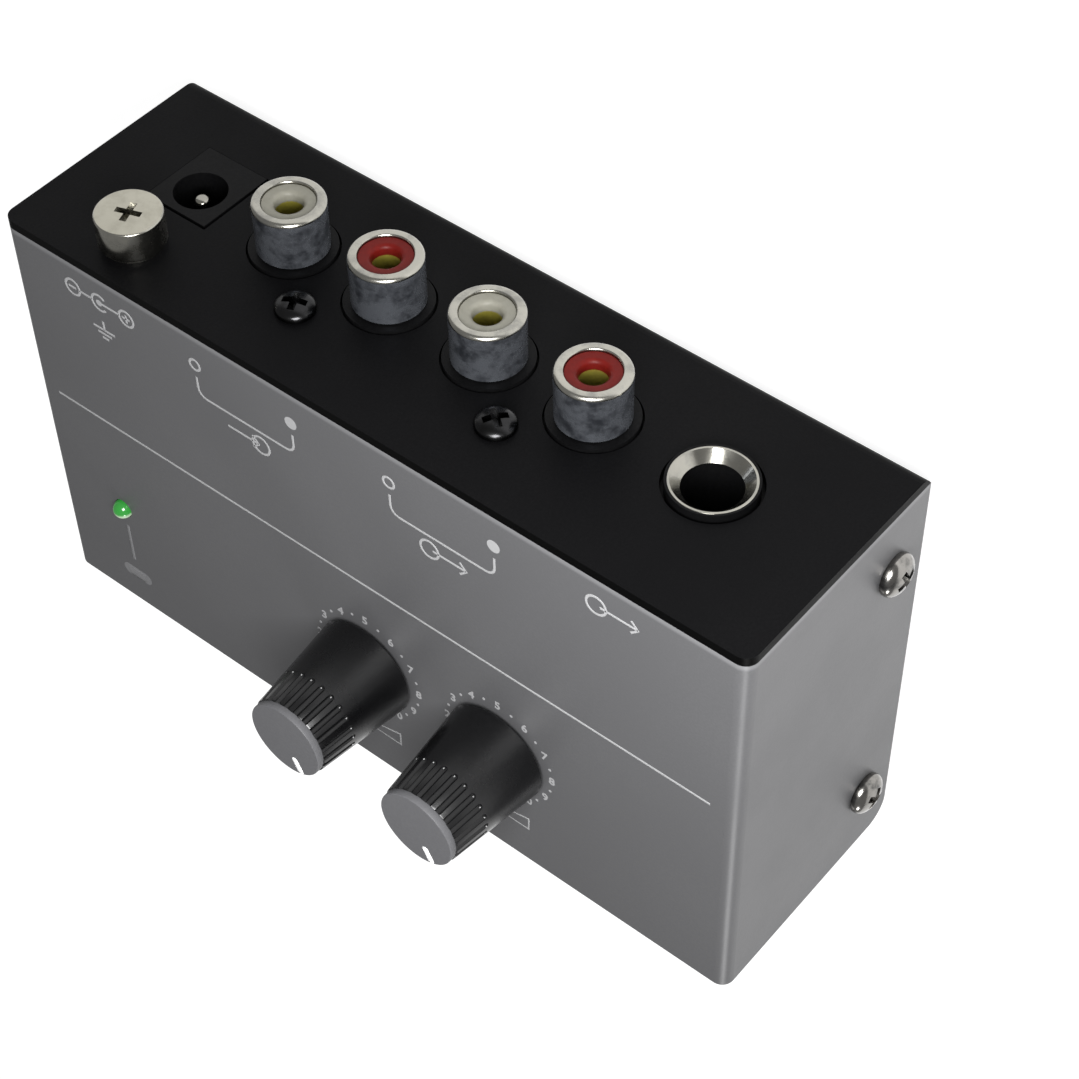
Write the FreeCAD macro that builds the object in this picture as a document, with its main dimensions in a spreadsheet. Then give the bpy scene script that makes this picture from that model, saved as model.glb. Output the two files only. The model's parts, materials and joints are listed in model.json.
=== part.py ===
import FreeCAD, Part
import os
import re
import sys
import Sketcher

# A small phono preamp lying on its feet, in millimetres.
# X runs to the right along the labelled face, Y to the rear, where the sockets are, and Z up.
# The origin is under the middle of the whole object, with the phono jacks' overhang counted in,
# on the surface that the feet stand on. Expressions measure depth from the middle of the case.

os.makedirs("parts", exist_ok=True)
doc = FreeCAD.newDocument("phono_preamp")

SIZES = [
    # case
    ("case_width", 103.0),
    ("case_depth", 58.0),
    ("case_height", 31.2),
    ("cover_sheet", 1.0),
    ("cover_bend", 1.6),
    ("cover_front_corner", 3.0),
    ("chassis_sheet", 1.2),
    ("chassis_bend", 1.8),
    ("panel_corner", 1.6),
    ("sheet_gap", 0.2),
    ("front_inset", 0.4),
    ("tab_width", 11.0),
    ("tab_height", 9.6),
    # feet
    ("foot_height", 2.2),
    ("foot_radius", 4.5),
    ("foot_round", 0.6),
    ("foot_inset_x", 9.0),
    ("foot_inset_y", 8.5),
    # cover screws
    ("side_screw_y", 19.0),
    ("side_screw_rise", 5.6),
    ("side_head_radius", 2.6),
    ("side_head_height", 1.9),
    ("side_head_round", 0.9),
    ("side_screw_radius", 1.45),
    ("side_screw_length", 4.6),
    ("screw_clearance", 0.25),
    ("thread_clearance", 0.05),
    ("cross_length", 2.8),
    ("cross_width", 0.75),
    ("cross_depth", 1.1),
    # sockets
    ("socket_rise", 14.8),
    ("jack_rise", 6.5),
    ("phono_pitch", 14.0),
    ("input_x", -15.25),
    ("output_x", 12.75),
    ("phono_reach", 6.8),
    ("phono_radius", 4.15),
    ("phono_bore", 3.5),
    ("phono_stem", 3.95),
    ("phono_edge", 0.35),
    ("insulator_recess", 0.5),
    ("insulator_dish", 0.6),
    ("insulator_foot", 4.6),
    ("contact_radius", 1.85),
    ("contact_bore", 1.6),
    ("contact_recess", 1.6),
    ("contact_depth", 11.0),
    ("boss_radius", 5.05),
    ("boss_clearance", 0.25),
    ("boss_reach", 0.3),
    ("block_width", 27.4),
    ("block_height", 12.4),
    ("block_depth", 11.0),
    ("ear_width", 7.4),
    ("block_screw_rise", 7.3),
    ("ear_margin", 3.2),
    ("block_head_radius", 2.35),
    ("block_head_height", 1.5),
    ("block_head_round", 0.7),
    ("block_screw_radius", 1.4),
    ("block_screw_length", 9.0),
    ("terminal_width", 1.2),
    ("terminal_sheet", 0.4),
    ("terminal_length", 4.6),
    ("terminal_signal_inset", 2.0),
    ("terminal_shield_inset", 4.0),
    ("terminal_slot_gap", 0.2),
    ("margin", 1.0),
    # stereo jack
    ("stereo_x", 35.0),
    ("stereo_nose_radius", 4.95),
    ("stereo_nose_clearance", 0.45),
    ("stereo_nose_reach", 0.7),
    ("stereo_bore", 3.3),
    ("stereo_ring_radius", 4.7),
    ("stereo_ring_flare", 4.4),
    ("stereo_ring_depth", 1.1),
    ("stereo_body_width", 15.0),
    ("stereo_body_height", 12.4),
    ("stereo_body_depth", 28.5),
    ("stereo_bore_depth", 26.5),
    ("spring_width", 2.4),
    ("spring_sheet", 0.35),
    ("spring_length", 8.0),
    ("spring_slot_gap", 0.4),
    ("sleeve_spring_depth", 7.0),
    ("tip_spring_depth", 22.0),
    # power socket
    ("power_x", -36.9),
    ("power_drop", 0.4),
    ("power_width", 9.0),
    ("power_height", 10.2),
    ("power_depth", 13.5),
    ("power_bore", 3.15),
    ("power_bore_depth", 9.5),
    ("power_pin_radius", 1.0),
    ("power_pin_recess", 0.9),
    ("power_pin_round", 0.7),
    ("power_pin_cover", 1.0),
    ("power_root_radius", 1.3),
    ("power_leg_inset", 1.2),
    ("power_gap", 0.4),
    # ground terminal
    ("ground_x", -36.6),
    ("ground_top_gap", 5.9),
    ("ground_head_radius", 3.9),
    ("ground_head_height", 4.0),
    ("ground_head_edge", 0.3),
    ("ground_screw_radius", 2.0),
    ("ground_screw_length", 9.0),
    ("ground_washer_radius", 3.4),
    ("ground_washer_sheet", 0.5),
    ("ground_seat", 0.03),
    ("bush_radius", 3.0),
    ("bush_flange_radius", 3.6),
    ("bush_flange_sheet", 1.4),
    ("bush_length", 7.0),
    ("tag_sheet", 0.6),
    ("tag_radius", 3.6),
    ("tag_width", 2.4),
    ("tag_reach", 5.9),
    # board
    ("board_side_gap", 5.0),
    ("board_front_gap", 3.5),
    ("board_rear_gap", 0.8),
    ("board_sheet", 1.6),
    ("spacer_side_inset", 8.5),
    ("spacer_front_inset", 7.5),
    ("spacer_rear_inset", 32.3),
    ("spacer_radius", 2.75),
    ("spacer_pilot", 2.0),
    ("spacer_bore", 1.5),
    ("board_head_radius", 2.6),
    ("board_head_height", 1.8),
    ("board_screw_length", 6.0),
    # controls
    ("level_x", 0.0),
    ("knob_pitch", 19.4),
    ("knob_y", -10.8),
    ("pot_width", 11.0),
    ("pot_depth", 12.0),
    ("pot_height", 6.8),
    ("pot_hollow", 4.4),
    ("pot_floor", 1.2),
    ("wiper_gap", 0.3),
    ("wiper_radius", 4.1),
    ("wiper_sheet", 1.5),
    ("bushing_radius", 3.5),
    ("bushing_length", 9.0),
    ("shaft_radius", 3.0),
    ("shaft_flat", 1.5),
    ("shaft_flat_length", 9.0),
    ("shaft_clearance", 0.05),
    ("shaft_hole_clearance", 0.6),
    ("knob_gap", 0.5),
    ("knob_height", 13.7),
    ("knob_base_radius", 6.6),
    ("knob_top_radius", 5.1),
    ("knob_wall", 1.1),
    ("knob_hollow_depth", 7.0),
    ("knob_hub_radius", 4.3),
    ("knob_bore_depth", 10.6),
    ("knob_hub_gap", 0.8),
    ("knob_key_gap", 0.5),
    ("knob_cap_sheet", 0.9),
    ("knob_cap_bevel", 0.15),
    ("knob_cap_stem", 1.2),
    ("knob_cap_stem_length", 1.2),
    ("knob_fit", 0.02),
    ("flute_height", 4.9),
    ("flute_radius", 0.36),
    ("flute_count", 24),
    ("pointer_width", 0.75),
    ("pointer_inner", 3.1),
    ("pointer_sheet", 0.3),
    ("pointer_angle", -65.0),
    # lamp
    ("lamp_x", -40.1),
    ("lamp_y", -11.8),
    ("lamp_radius", 1.25),
    ("lamp_flange_radius", 1.9),
    ("lamp_flange_sheet", 1.0),
    ("lamp_reach", 0.1),
    ("lamp_clearance", 0.1),
    ("lamp_spacer_radius", 2.1),
    ("lamp_spacer_bore", 0.5),
    ("lamp_lead_radius", 0.3),
    ("lamp_lead_pitch", 2.54),
    ("lamp_lead_tail", 2.2),
    # parts on the board
    ("chip_length", 9.4),
    ("chip_width", 6.4),
    ("chip_height", 3.4),
    ("chip_x", -17.0),
    ("chip_y", -12.0),
    ("chip_pitch", 12.0),
    ("chip_lift", 0.5),
    ("can_radius", 3.1),
    ("can_height", 9.0),
    ("can_x", -31.0),
    ("can_y", -20.0),
    ("can_pitch", 8.5),
    ("film_length", 7.2),
    ("film_width", 3.0),
    ("film_height", 7.5),
    ("film_x", 31.0),
    ("film_y", -22.0),
    ("film_pitch", 4.6),
    ("resistor_radius", 1.15),
    ("resistor_length", 6.2),
    ("resistor_x", -18.0),
    ("resistor_gap", 2.15),
    ("resistor_pitch", 4.4),
    ("regulator_radius", 2.3),
    ("regulator_height", 4.8),
    ("regulator_lift", 1.0),
    ("regulator_x", -23.5),
    ("regulator_y", 2.0),
]

sheet = doc.addObject("Spreadsheet::Sheet", "Sizes")
for row, (alias, value) in enumerate(SIZES, start=1):
    sheet.set("A%d" % row, alias)
    sheet.set("B%d" % row, "%.9g" % value)
    sheet.setAlias("B%d" % row, alias)
doc.recompute()

NAMES = sorted((alias for alias, _ in SIZES), key=len, reverse=True)
NAME_PATTERN = re.compile(r"\b(%s)\b" % "|".join(NAMES))
AXIS_TURN = {
    "z": FreeCAD.Rotation(),
    "y": FreeCAD.Rotation(FreeCAD.Vector(1, 0, 0), -90),
    "x": FreeCAD.Rotation(FreeCAD.Vector(0, 1, 0), 90),
    "-x": FreeCAD.Rotation(FreeCAD.Vector(0, 1, 0), -90),
}
nodes = []

# Heights and depths that several pieces share, as expressions of the sizes.
CASE_SHIFT = "phono_reach / 2"
CASE_FLOOR = "foot_height"
CASE_TOP = "(foot_height + case_height)"
PLATE_TOP = "(foot_height + chassis_sheet)"
PANEL_FACE = "case_depth / 2"
PANEL_BACK = "(case_depth / 2 - chassis_sheet)"
SPACER_PLACES = [(side + "(case_width / 2 - spacer_side_inset)", depth) for side in ("", "-")
                 for depth in ("(spacer_front_inset - case_depth / 2)",
                               "(case_depth / 2 - chassis_sheet - spacer_rear_inset)")]
SOCKET_Z = "(foot_height + socket_rise)"
BOARD_TOP = "(foot_height + socket_rise - jack_rise)"
BOARD_BASE = "(foot_height + socket_rise - jack_rise - board_sheet)"
PHONO_X = {
    "input_left": "(input_x - phono_pitch / 2)",
    "input_right": "(input_x + phono_pitch / 2)",
    "output_left": "(output_x - phono_pitch / 2)",
    "output_right": "(output_x + phono_pitch / 2)",
}
TERMINAL_ROWS = {
    "signal": "(%s - block_depth + terminal_signal_inset)" % PANEL_BACK,
    "shield": "(%s - terminal_shield_inset)" % PANEL_BACK,
}
POWER_LEGS = {
    "near": "(%s - power_depth / 2)" % PANEL_FACE,
    "far": "(%s - power_depth + power_leg_inset)" % PANEL_FACE,
}
GROUND_RISE = "(case_height - ground_top_gap)"
BOARD_FRONT = "(board_front_gap - case_depth / 2)"
KNOB_SLOPE = "((knob_base_radius - knob_top_radius) / knob_height)"
KNOB_X = {"level": "level_x", "volume": "(level_x + knob_pitch)"}


def full(expression):
    """Give each size name in an expression its sheet's name."""
    return NAME_PATTERN.sub(r"Sizes.\1", expression)


def number(expression):
    """Work out an expression of sizes through a helper object's own property."""
    probe.setExpression("Value", full(expression))
    doc.recompute([probe])
    return float(probe.Value)


probe = doc.addObject("App::FeaturePython", "Probe")
probe.addProperty("App::PropertyFloat", "Value")


def bind(piece, prop, expression):
    piece.setExpression(prop, full(expression))


def move_to(piece, x, y, z):
    """Put a piece at a place given from the middle of the case."""
    bind(piece, "Placement.Base.x", x)
    bind(piece, "Placement.Base.y", "%s - %s" % (y, CASE_SHIFT))
    bind(piece, "Placement.Base.z", z)


def place(piece, x, y, z, axis="z"):
    piece.Placement = FreeCAD.Placement(FreeCAD.Vector(), AXIS_TURN[axis])
    move_to(piece, x, y, z)


def cylinder(name, radius, length, x, y, z, axis="z"):
    piece = doc.addObject("Part::Cylinder", name)
    bind(piece, "Radius", radius)
    bind(piece, "Height", length)
    place(piece, x, y, z, axis)
    return piece


def cone(name, radius_low, radius_high, length, x, y, z, axis="z"):
    piece = doc.addObject("Part::Cone", name)
    bind(piece, "Radius1", radius_low)
    bind(piece, "Radius2", radius_high)
    bind(piece, "Height", length)
    place(piece, x, y, z, axis)
    return piece


def box(name, wide, deep, high, x, y, z):
    """A box whose place is the middle of its base."""
    piece = doc.addObject("Part::Box", name)
    bind(piece, "Length", wide)
    bind(piece, "Width", deep)
    bind(piece, "Height", high)
    place(piece, "%s - (%s) / 2" % (x, wide), "%s - (%s) / 2" % (y, deep), z)
    return piece


def fuse(name, pieces):
    piece = doc.addObject("Part::MultiFuse", name)
    piece.Shapes = pieces
    return piece


def cut(name, base, tools):
    piece = doc.addObject("Part::Cut", name)
    piece.Base = base
    piece.Tool = tools[0] if len(tools) == 1 else fuse(name + "_tools", tools)
    return piece


def group(name, pieces):
    """Identical pieces that share one node."""
    piece = doc.addObject("Part::Compound", name)
    piece.Links = pieces
    return piece


def node(label, piece):
    piece.Label = label
    nodes.append(piece)
    return piece


def new_body(label, x="0", y="0", z="0"):
    body = node(label, doc.addObject("PartDesign::Body", label))
    move_to(body, x, y, z)
    return body


def origin_plane(body, role):
    return next(item for item in body.Origin.OriginFeatures if item.Role == role)


def new_sketch(body, name, role, offset=None):
    sketch = body.newObject("Sketcher::SketchObject", name)
    sketch.AttachmentSupport = [(origin_plane(body, role), "")]
    sketch.MapMode = "FlatFace"
    if offset is not None:
        bind(sketch, "AttachmentOffset.Base.z", offset)
    return sketch


def fix_point(sketch, item, corner, across, up):
    """Hold one point of a sketch at two expressions."""
    for kind, expression in (("DistanceX", across), ("DistanceY", up)):
        if expression == "0":
            axis = -2 if kind == "DistanceX" else -1
            sketch.addConstraint(Sketcher.Constraint("PointOnObject", item, corner, axis))
            continue
        index = sketch.addConstraint(Sketcher.Constraint(kind, -1, 1, item, corner, 1.0))
        bind(sketch, "Constraints[%d]" % index, expression)


def outline(sketch, points):
    """A closed run of straight lines through bound corners."""
    guess = [FreeCAD.Vector(number(across), number(up), 0) for across, up in points]
    first = sketch.GeometryCount
    count = len(points)
    for index in range(count):
        sketch.addGeometry(Part.LineSegment(guess[index], guess[(index + 1) % count]))
    for index in range(count):
        after = first + (index + 1) % count
        sketch.addConstraint(Sketcher.Constraint("Coincident", first + index, 2, after, 1))
    for index, (across, up) in enumerate(points):
        fix_point(sketch, first + index, 1, across, up)


def rectangle(sketch, left, right, low, high):
    outline(sketch, [(left, low), (right, low), (right, high), (left, high)])


def circle(sketch, across, up, radius):
    centre = FreeCAD.Vector(number(across), number(up), 0)
    item = sketch.addGeometry(Part.Circle(centre, FreeCAD.Vector(0, 0, 1), number(radius)))
    fix_point(sketch, item, 3, across, up)
    index = sketch.addConstraint(Sketcher.Constraint("Radius", item, number(radius)))
    bind(sketch, "Constraints[%d]" % index, radius)


def pad(body, name, sketch, length, reverse=False, middle=False):
    feature = body.newObject("PartDesign::Pad", name)
    feature.Profile = sketch
    bind(feature, "Length", length)
    feature.Reversed = reverse
    feature.Midplane = middle
    doc.recompute()
    return feature


def pocket(body, name, sketch, length=None, reverse=False, middle=False):
    feature = body.newObject("PartDesign::Pocket", name)
    feature.Profile = sketch
    if length is None:
        feature.Type = 1
    else:
        bind(feature, "Length", length)
    feature.Reversed = reverse
    feature.Midplane = middle
    before = body.Shape.Volume
    doc.recompute()
    if before - body.Shape.Volume < 0.01:
        raise RuntimeError(name + " cuts nothing")
    return feature


def round_edges(body, name, radius, chosen):
    """Fillet the edges of the last feature that the test picks."""
    base = body.Tip
    names = ["Edge%d" % (i + 1) for i, edge in enumerate(base.Shape.Edges) if chosen(edge)]
    if not names:
        raise RuntimeError(name + " finds no edge")
    feature = body.newObject("PartDesign::Fillet", name)
    feature.Base = (base, names)
    bind(feature, "Radius", radius)
    doc.recompute()
    return feature


def along(edge, axis, others):
    """Whether a straight edge runs along an axis at the given places on the other two."""
    if edge.Curve.TypeId != "Part::GeomLine":
        return False
    low = edge.Vertexes[0].Point
    high = edge.Vertexes[-1].Point
    run = high - low
    if abs(abs(run[axis]) - run.Length) > 1e-6:
        return False
    return all(abs(low[other] - value) < 1e-4 for other, value in others.items())


# Case: gray cover, black chassis, feet and cover screws

def build_cover():
    body = new_body("top_cover")
    side = "case_width / 2"
    inner = "(case_width / 2 - cover_sheet)"
    profile = new_sketch(body, "cover_profile", "XZ_Plane", "-(%s)" % PANEL_BACK)
    outline(profile, [
        ("-" + side, CASE_FLOOR), ("-" + side, CASE_TOP), (side, CASE_TOP), (side, CASE_FLOOR),
        (inner, CASE_FLOOR), (inner, "%s - cover_sheet" % CASE_TOP),
        ("-" + inner, "%s - cover_sheet" % CASE_TOP), ("-" + inner, CASE_FLOOR),
    ])
    pad(body, "cover_sheet_metal", profile, "case_depth - chassis_sheet")
    half, top = number("case_width / 2"), number(CASE_TOP)
    sheet_size = number("cover_sheet")
    round_edges(body, "cover_bends", "cover_bend", lambda edge: any(
        along(edge, 1, {0: sign * half, 2: top}) for sign in (-1, 1)))
    round_edges(body, "cover_inner_bends", "cover_bend - cover_sheet", lambda edge: any(
        along(edge, 1, {0: sign * (half - sheet_size), 2: top - sheet_size}) for sign in (-1, 1)))
    front, floor = -number("case_depth / 2"), number(CASE_FLOOR)
    round_edges(body, "cover_front_corners", "cover_front_corner", lambda edge: along(
        edge, 0, {1: front, 2: floor}))
    top_holes = new_sketch(body, "cover_top_holes", "XY_Plane")
    for x in KNOB_X.values():
        circle(top_holes, x, "knob_y", "shaft_radius + shaft_hole_clearance")
    circle(top_holes, "lamp_x", "lamp_y", "lamp_radius + lamp_clearance")
    pocket(body, "cover_top_cut", top_holes, reverse=True)
    side_holes = new_sketch(body, "cover_side_holes", "YZ_Plane")
    for sign in ("", "-"):
        circle(side_holes, sign + "side_screw_y", "%s + side_screw_rise" % CASE_FLOOR,
               "side_screw_radius + screw_clearance")
    pocket(body, "cover_side_cut", side_holes, middle=True)


def build_chassis():
    body = new_body("chassis")
    inner = "(case_width / 2 - cover_sheet - sheet_gap)"
    front = "(-case_depth / 2 + front_inset)"
    front_top = "(%s - cover_sheet - sheet_gap)" % CASE_TOP
    profile = new_sketch(body, "chassis_profile", "YZ_Plane")
    outline(profile, [
        (front, CASE_FLOOR), (PANEL_FACE, CASE_FLOOR), (PANEL_FACE, PLATE_TOP),
        ("%s + chassis_sheet" % front, PLATE_TOP), ("%s + chassis_sheet" % front, front_top),
        (front, front_top),
    ])
    pad(body, "chassis_plate", profile, "2 * " + inner, middle=True)
    panel = new_sketch(body, "rear_panel_outline", "XZ_Plane", "-(%s)" % PANEL_BACK)
    rectangle(panel, "-case_width / 2", "case_width / 2", CASE_FLOOR, CASE_TOP)
    pad(body, "rear_panel", panel, "chassis_sheet", reverse=True)
    half, floor, top = number("case_width / 2"), number(CASE_FLOOR), number(CASE_TOP)
    bends = (number(PANEL_FACE), number(front))
    round_edges(body, "chassis_bends", "chassis_bend", lambda edge: any(
        along(edge, 0, {1: depth, 2: floor}) for depth in bends))
    round_edges(body, "panel_corners", "panel_corner", lambda edge: any(
        along(edge, 1, {0: sign * half, 2: height}) for sign in (-1, 1) for height in (floor, top)))
    for name, side in (("left_tabs", "-"), ("right_tabs", "")):
        tabs = new_sketch(body, name + "_outline", "YZ_Plane", side + inner)
        for y in ("-side_screw_y", "side_screw_y"):
            rectangle(tabs, y + " - tab_width / 2", y + " + tab_width / 2", CASE_FLOOR,
                      "%s + tab_height" % CASE_FLOOR)
        pad(body, name, tabs, "chassis_sheet", reverse=(side == ""))
    tab_holes = new_sketch(body, "tab_holes", "YZ_Plane")
    for sign in ("", "-"):
        circle(tab_holes, sign + "side_screw_y", "%s + side_screw_rise" % CASE_FLOOR,
               "side_screw_radius + thread_clearance")
    pocket(body, "tab_cut", tab_holes, middle=True)
    sockets = new_sketch(body, "panel_holes", "XZ_Plane", "-(%s)" % PANEL_FACE)
    for x in PHONO_X.values():
        circle(sockets, x, SOCKET_Z, "boss_radius + boss_clearance")
    circle(sockets, "stereo_x", SOCKET_Z, "stereo_nose_radius + stereo_nose_clearance")
    circle(sockets, "ground_x", "%s + %s" % (CASE_FLOOR, GROUND_RISE), "bush_radius + thread_clearance")
    for x in ("input_x", "output_x"):
        circle(sockets, x, "%s + block_screw_rise" % SOCKET_Z, "block_screw_radius + screw_clearance")
    rectangle(sockets, "power_x - power_width / 2 - thread_clearance",
              "power_x + power_width / 2 + power_gap", "%s - thread_clearance" % BOARD_TOP,
              "%s + power_height + power_gap" % BOARD_TOP)
    pocket(body, "panel_cut", sockets, "chassis_sheet", reverse=True)
    pilots = new_sketch(body, "spacer_holes", "XY_Plane", CASE_FLOOR)
    for x, y in SPACER_PLACES:
        circle(pilots, x, y, "spacer_pilot + thread_clearance")
    pocket(body, "spacer_cut", pilots, "chassis_sheet", reverse=True)


def on_axis(axis, along_axis, other):
    """A place from its distance along an axis and its two other distances."""
    return {"x": (along_axis, other[0], other[1]), "y": (other[0], along_axis, other[1]),
            "z": (other[0], other[1], along_axis)}[axis]


def rounded(name, piece, radius, chosen):
    """Fillet the edges of a piece that the test picks."""
    doc.recompute()
    soft = doc.addObject("Part::Fillet", name)
    soft.Base = piece
    size = number(radius)
    soft.Edges = [(i + 1, size, size) for i, edge in enumerate(piece.Shape.Edges) if chosen(edge)]
    return soft


def pan_screw(name, facing, seat, other, head_radius, head_height, head_round, radius, length):
    """A pan-head screw, as a head that faces outward from its seat and a shank behind it."""
    axis = facing[-1]
    behind = "+" if facing.startswith("-") else "-"
    head = cylinder(name + "_head", head_radius, head_height, *on_axis(axis, seat, other), axis=facing)
    dome = rounded(name + "_dome", head, head_round, lambda edge: rim_of(head, edge))
    start = "%s %s (%s)" % (seat, behind, length)
    shank = cylinder(name + "_shank", radius, length, *on_axis(axis, start, other), axis=facing)
    face = "%s %s (%s)" % (seat, "-" if behind == "+" else "+", head_height)
    solid = fuse(name + "_solid", [dome, shank])
    return cut(name + "_piece", solid, cross_recess(name, axis, face, other))


def rim_of(head, edge):
    """Whether an edge is the far rim of a cylinder's own frame."""
    if edge.Curve.TypeId != "Part::GeomCircle":
        return False
    far = head.Placement.multVec(FreeCAD.Vector(0, 0, head.Height.Value))
    return (edge.Curve.Center - far).Length < 1e-4


def cross_recess(name, axis, face, other):
    """Two crossed slots sunk into a screw's head."""
    deep = "2 * cross_depth"
    slots = []
    for turn, (wide, narrow) in enumerate((("cross_length", "cross_width"),
                                           ("cross_width", "cross_length"))):
        spans = on_axis(axis, deep, (wide, narrow))
        x, y, z = on_axis(axis, face, other)
        slots.append(box("%s_slot_%d" % (name, turn), *spans, x, y, "%s - (%s) / 2" % (z, spans[2])))
    return slots


def build_screws():
    screws = []
    height = "%s + side_screw_rise" % CASE_FLOOR
    for side, facing, seat in (("right", "x", "case_width / 2"), ("left", "-x", "-case_width / 2")):
        for where, y in (("rear", "side_screw_y"), ("front", "-side_screw_y")):
            screws.append(pan_screw("cover_screw_%s_%s" % (side, where), facing, seat, (y, height),
                                    "side_head_radius", "side_head_height", "side_head_round",
                                    "side_screw_radius", "side_screw_length"))
    node("cover_screws", group("cover_screw_set", screws))
    feet = []
    for x_name, x in (("left", "-(case_width / 2 - foot_inset_x)"),
                      ("right", "(case_width / 2 - foot_inset_x)")):
        for y_name, y in (("front", "-(case_depth / 2 - foot_inset_y)"),
                          ("rear", "(case_depth / 2 - foot_inset_y)")):
            name = "foot_%s_%s" % (x_name, y_name)
            disc = cylinder(name, "foot_radius", "foot_height", x, y, "0")
            feet.append(rounded(name + "_rounded", disc, "foot_round", lambda edge: (
                edge.Curve.TypeId == "Part::GeomCircle" and edge.Curve.Center.z < number("foot_round"))))
    node("rubber_feet", group("foot_set", feet))


# Sockets on the rear panel

def build_phono_jacks():
    reach = "(%s + phono_reach)" % PANEL_FACE
    for pair, centre in (("input", "input_x"), ("output", "output_x")):
        housing = box(pair + "_housing", "block_width", "block_depth", "block_height", centre,
                      "(%s - thread_clearance - block_depth / 2)" % PANEL_BACK, BOARD_TOP)
        ear = box(pair + "_ear", "ear_width", "block_depth",
                  "jack_rise + block_screw_rise + ear_margin", centre,
                  "(%s - thread_clearance - block_depth / 2)" % PANEL_BACK, BOARD_TOP)
        bosses = []
        bores = [cylinder(pair + "_screw_hole", "block_screw_radius + thread_clearance",
                          "block_screw_length", centre, "(%s - block_screw_length)" % PANEL_FACE,
                          "%s + block_screw_rise" % SOCKET_Z, "y")]
        for side in ("left", "right"):
            x = PHONO_X[pair + "_" + side]
            bosses.append(cylinder("%s_%s_boss" % (pair, side), "boss_radius",
                                   "chassis_sheet + boss_reach + margin", x, "(%s - margin)" % PANEL_BACK,
                                   SOCKET_Z, "y"))
            bores.append(cylinder("%s_%s_seat" % (pair, side), "phono_stem + knob_fit",
                                  "2 * insulator_foot", x, "(%s - insulator_foot)" % PANEL_FACE, SOCKET_Z,
                                  "y"))
            bores.append(cylinder("%s_%s_contact_seat" % (pair, side), "contact_radius + knob_fit",
                                  "contact_depth", x, "(%s - contact_depth)" % PANEL_FACE, SOCKET_Z, "y"))
        node(pair + "_jack_block", cut(pair + "_block", fuse(pair + "_block_solid",
                                                             [housing, ear] + bosses), bores))
    contacts = []
    for name, x in PHONO_X.items():
        start = "(%s - insulator_foot)" % PANEL_FACE
        shoulder = "(%s + boss_reach + thread_clearance)" % PANEL_FACE
        barrel = cylinder(name + "_barrel", "phono_radius", "phono_reach - boss_reach - thread_clearance",
                          x, shoulder, SOCKET_Z, "y")
        stem = cylinder(name + "_stem", "phono_stem", "insulator_foot + boss_reach + margin", x, start,
                        SOCKET_Z, "y")
        soft = rounded(name + "_barrel_rounded", barrel, "phono_edge", lambda edge: rim_of(barrel, edge))
        bore = cylinder(name + "_barrel_bore", "phono_bore", "phono_reach + insulator_foot + 2 * margin",
                        x, "(%s - margin)" % start, SOCKET_Z, "y")
        node(name + "_shell", cut(name + "_shell_solid", fuse(name + "_shell_blank", [soft, stem]),
                                  [bore]))
        core = cylinder(name + "_core", "phono_bore - knob_fit",
                        "phono_reach + insulator_foot - insulator_recess", x, start, SOCKET_Z, "y")
        hole = cylinder(name + "_core_bore", "contact_radius + knob_fit",
                        "phono_reach + insulator_foot", x, "(%s - margin)" % start, SOCKET_Z, "y")
        dish = cone(name + "_core_dish", "contact_radius + knob_fit",
                    "contact_radius + 2 * insulator_dish", "2 * insulator_dish", x,
                    "(%s - insulator_recess - insulator_dish)" % reach, SOCKET_Z, "y")
        node(name + "_insulator", cut(name + "_insulator_solid", core, [hole, dish]))
        tube = cylinder(name + "_contact_tube", "contact_radius",
                        "phono_reach + contact_depth - contact_recess", x,
                        "(%s - contact_depth)" % PANEL_FACE, SOCKET_Z, "y")
        tube_bore = cylinder(name + "_contact_bore", "contact_bore",
                             "phono_reach + contact_depth - margin", x,
                             "(%s - contact_depth + margin)" % PANEL_FACE, SOCKET_Z, "y")
        contacts.append(cut(name + "_contact", tube, [tube_bore]))
    node("centre_contacts", group("contact_set", contacts))
    height = "%s + block_screw_rise" % SOCKET_Z
    screws = [pan_screw(pair + "_screw", "y", PANEL_FACE, (centre, height), "block_head_radius",
                        "block_head_height", "block_head_round", "block_screw_radius",
                        "block_screw_length - screw_clearance")
              for pair, centre in (("input", "input_x"), ("output", "output_x"))]
    node("jack_block_screws", group("block_screw_set", screws))
    pins = []
    for name, x in PHONO_X.items():
        for row, y in TERMINAL_ROWS.items():
            pins.append(box("%s_%s_pin" % (name, row), "terminal_width", "terminal_sheet",
                            "terminal_length", x, y, "(%s - terminal_length)" % BOARD_TOP))
    node("jack_terminals", group("terminal_set", pins))


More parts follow.
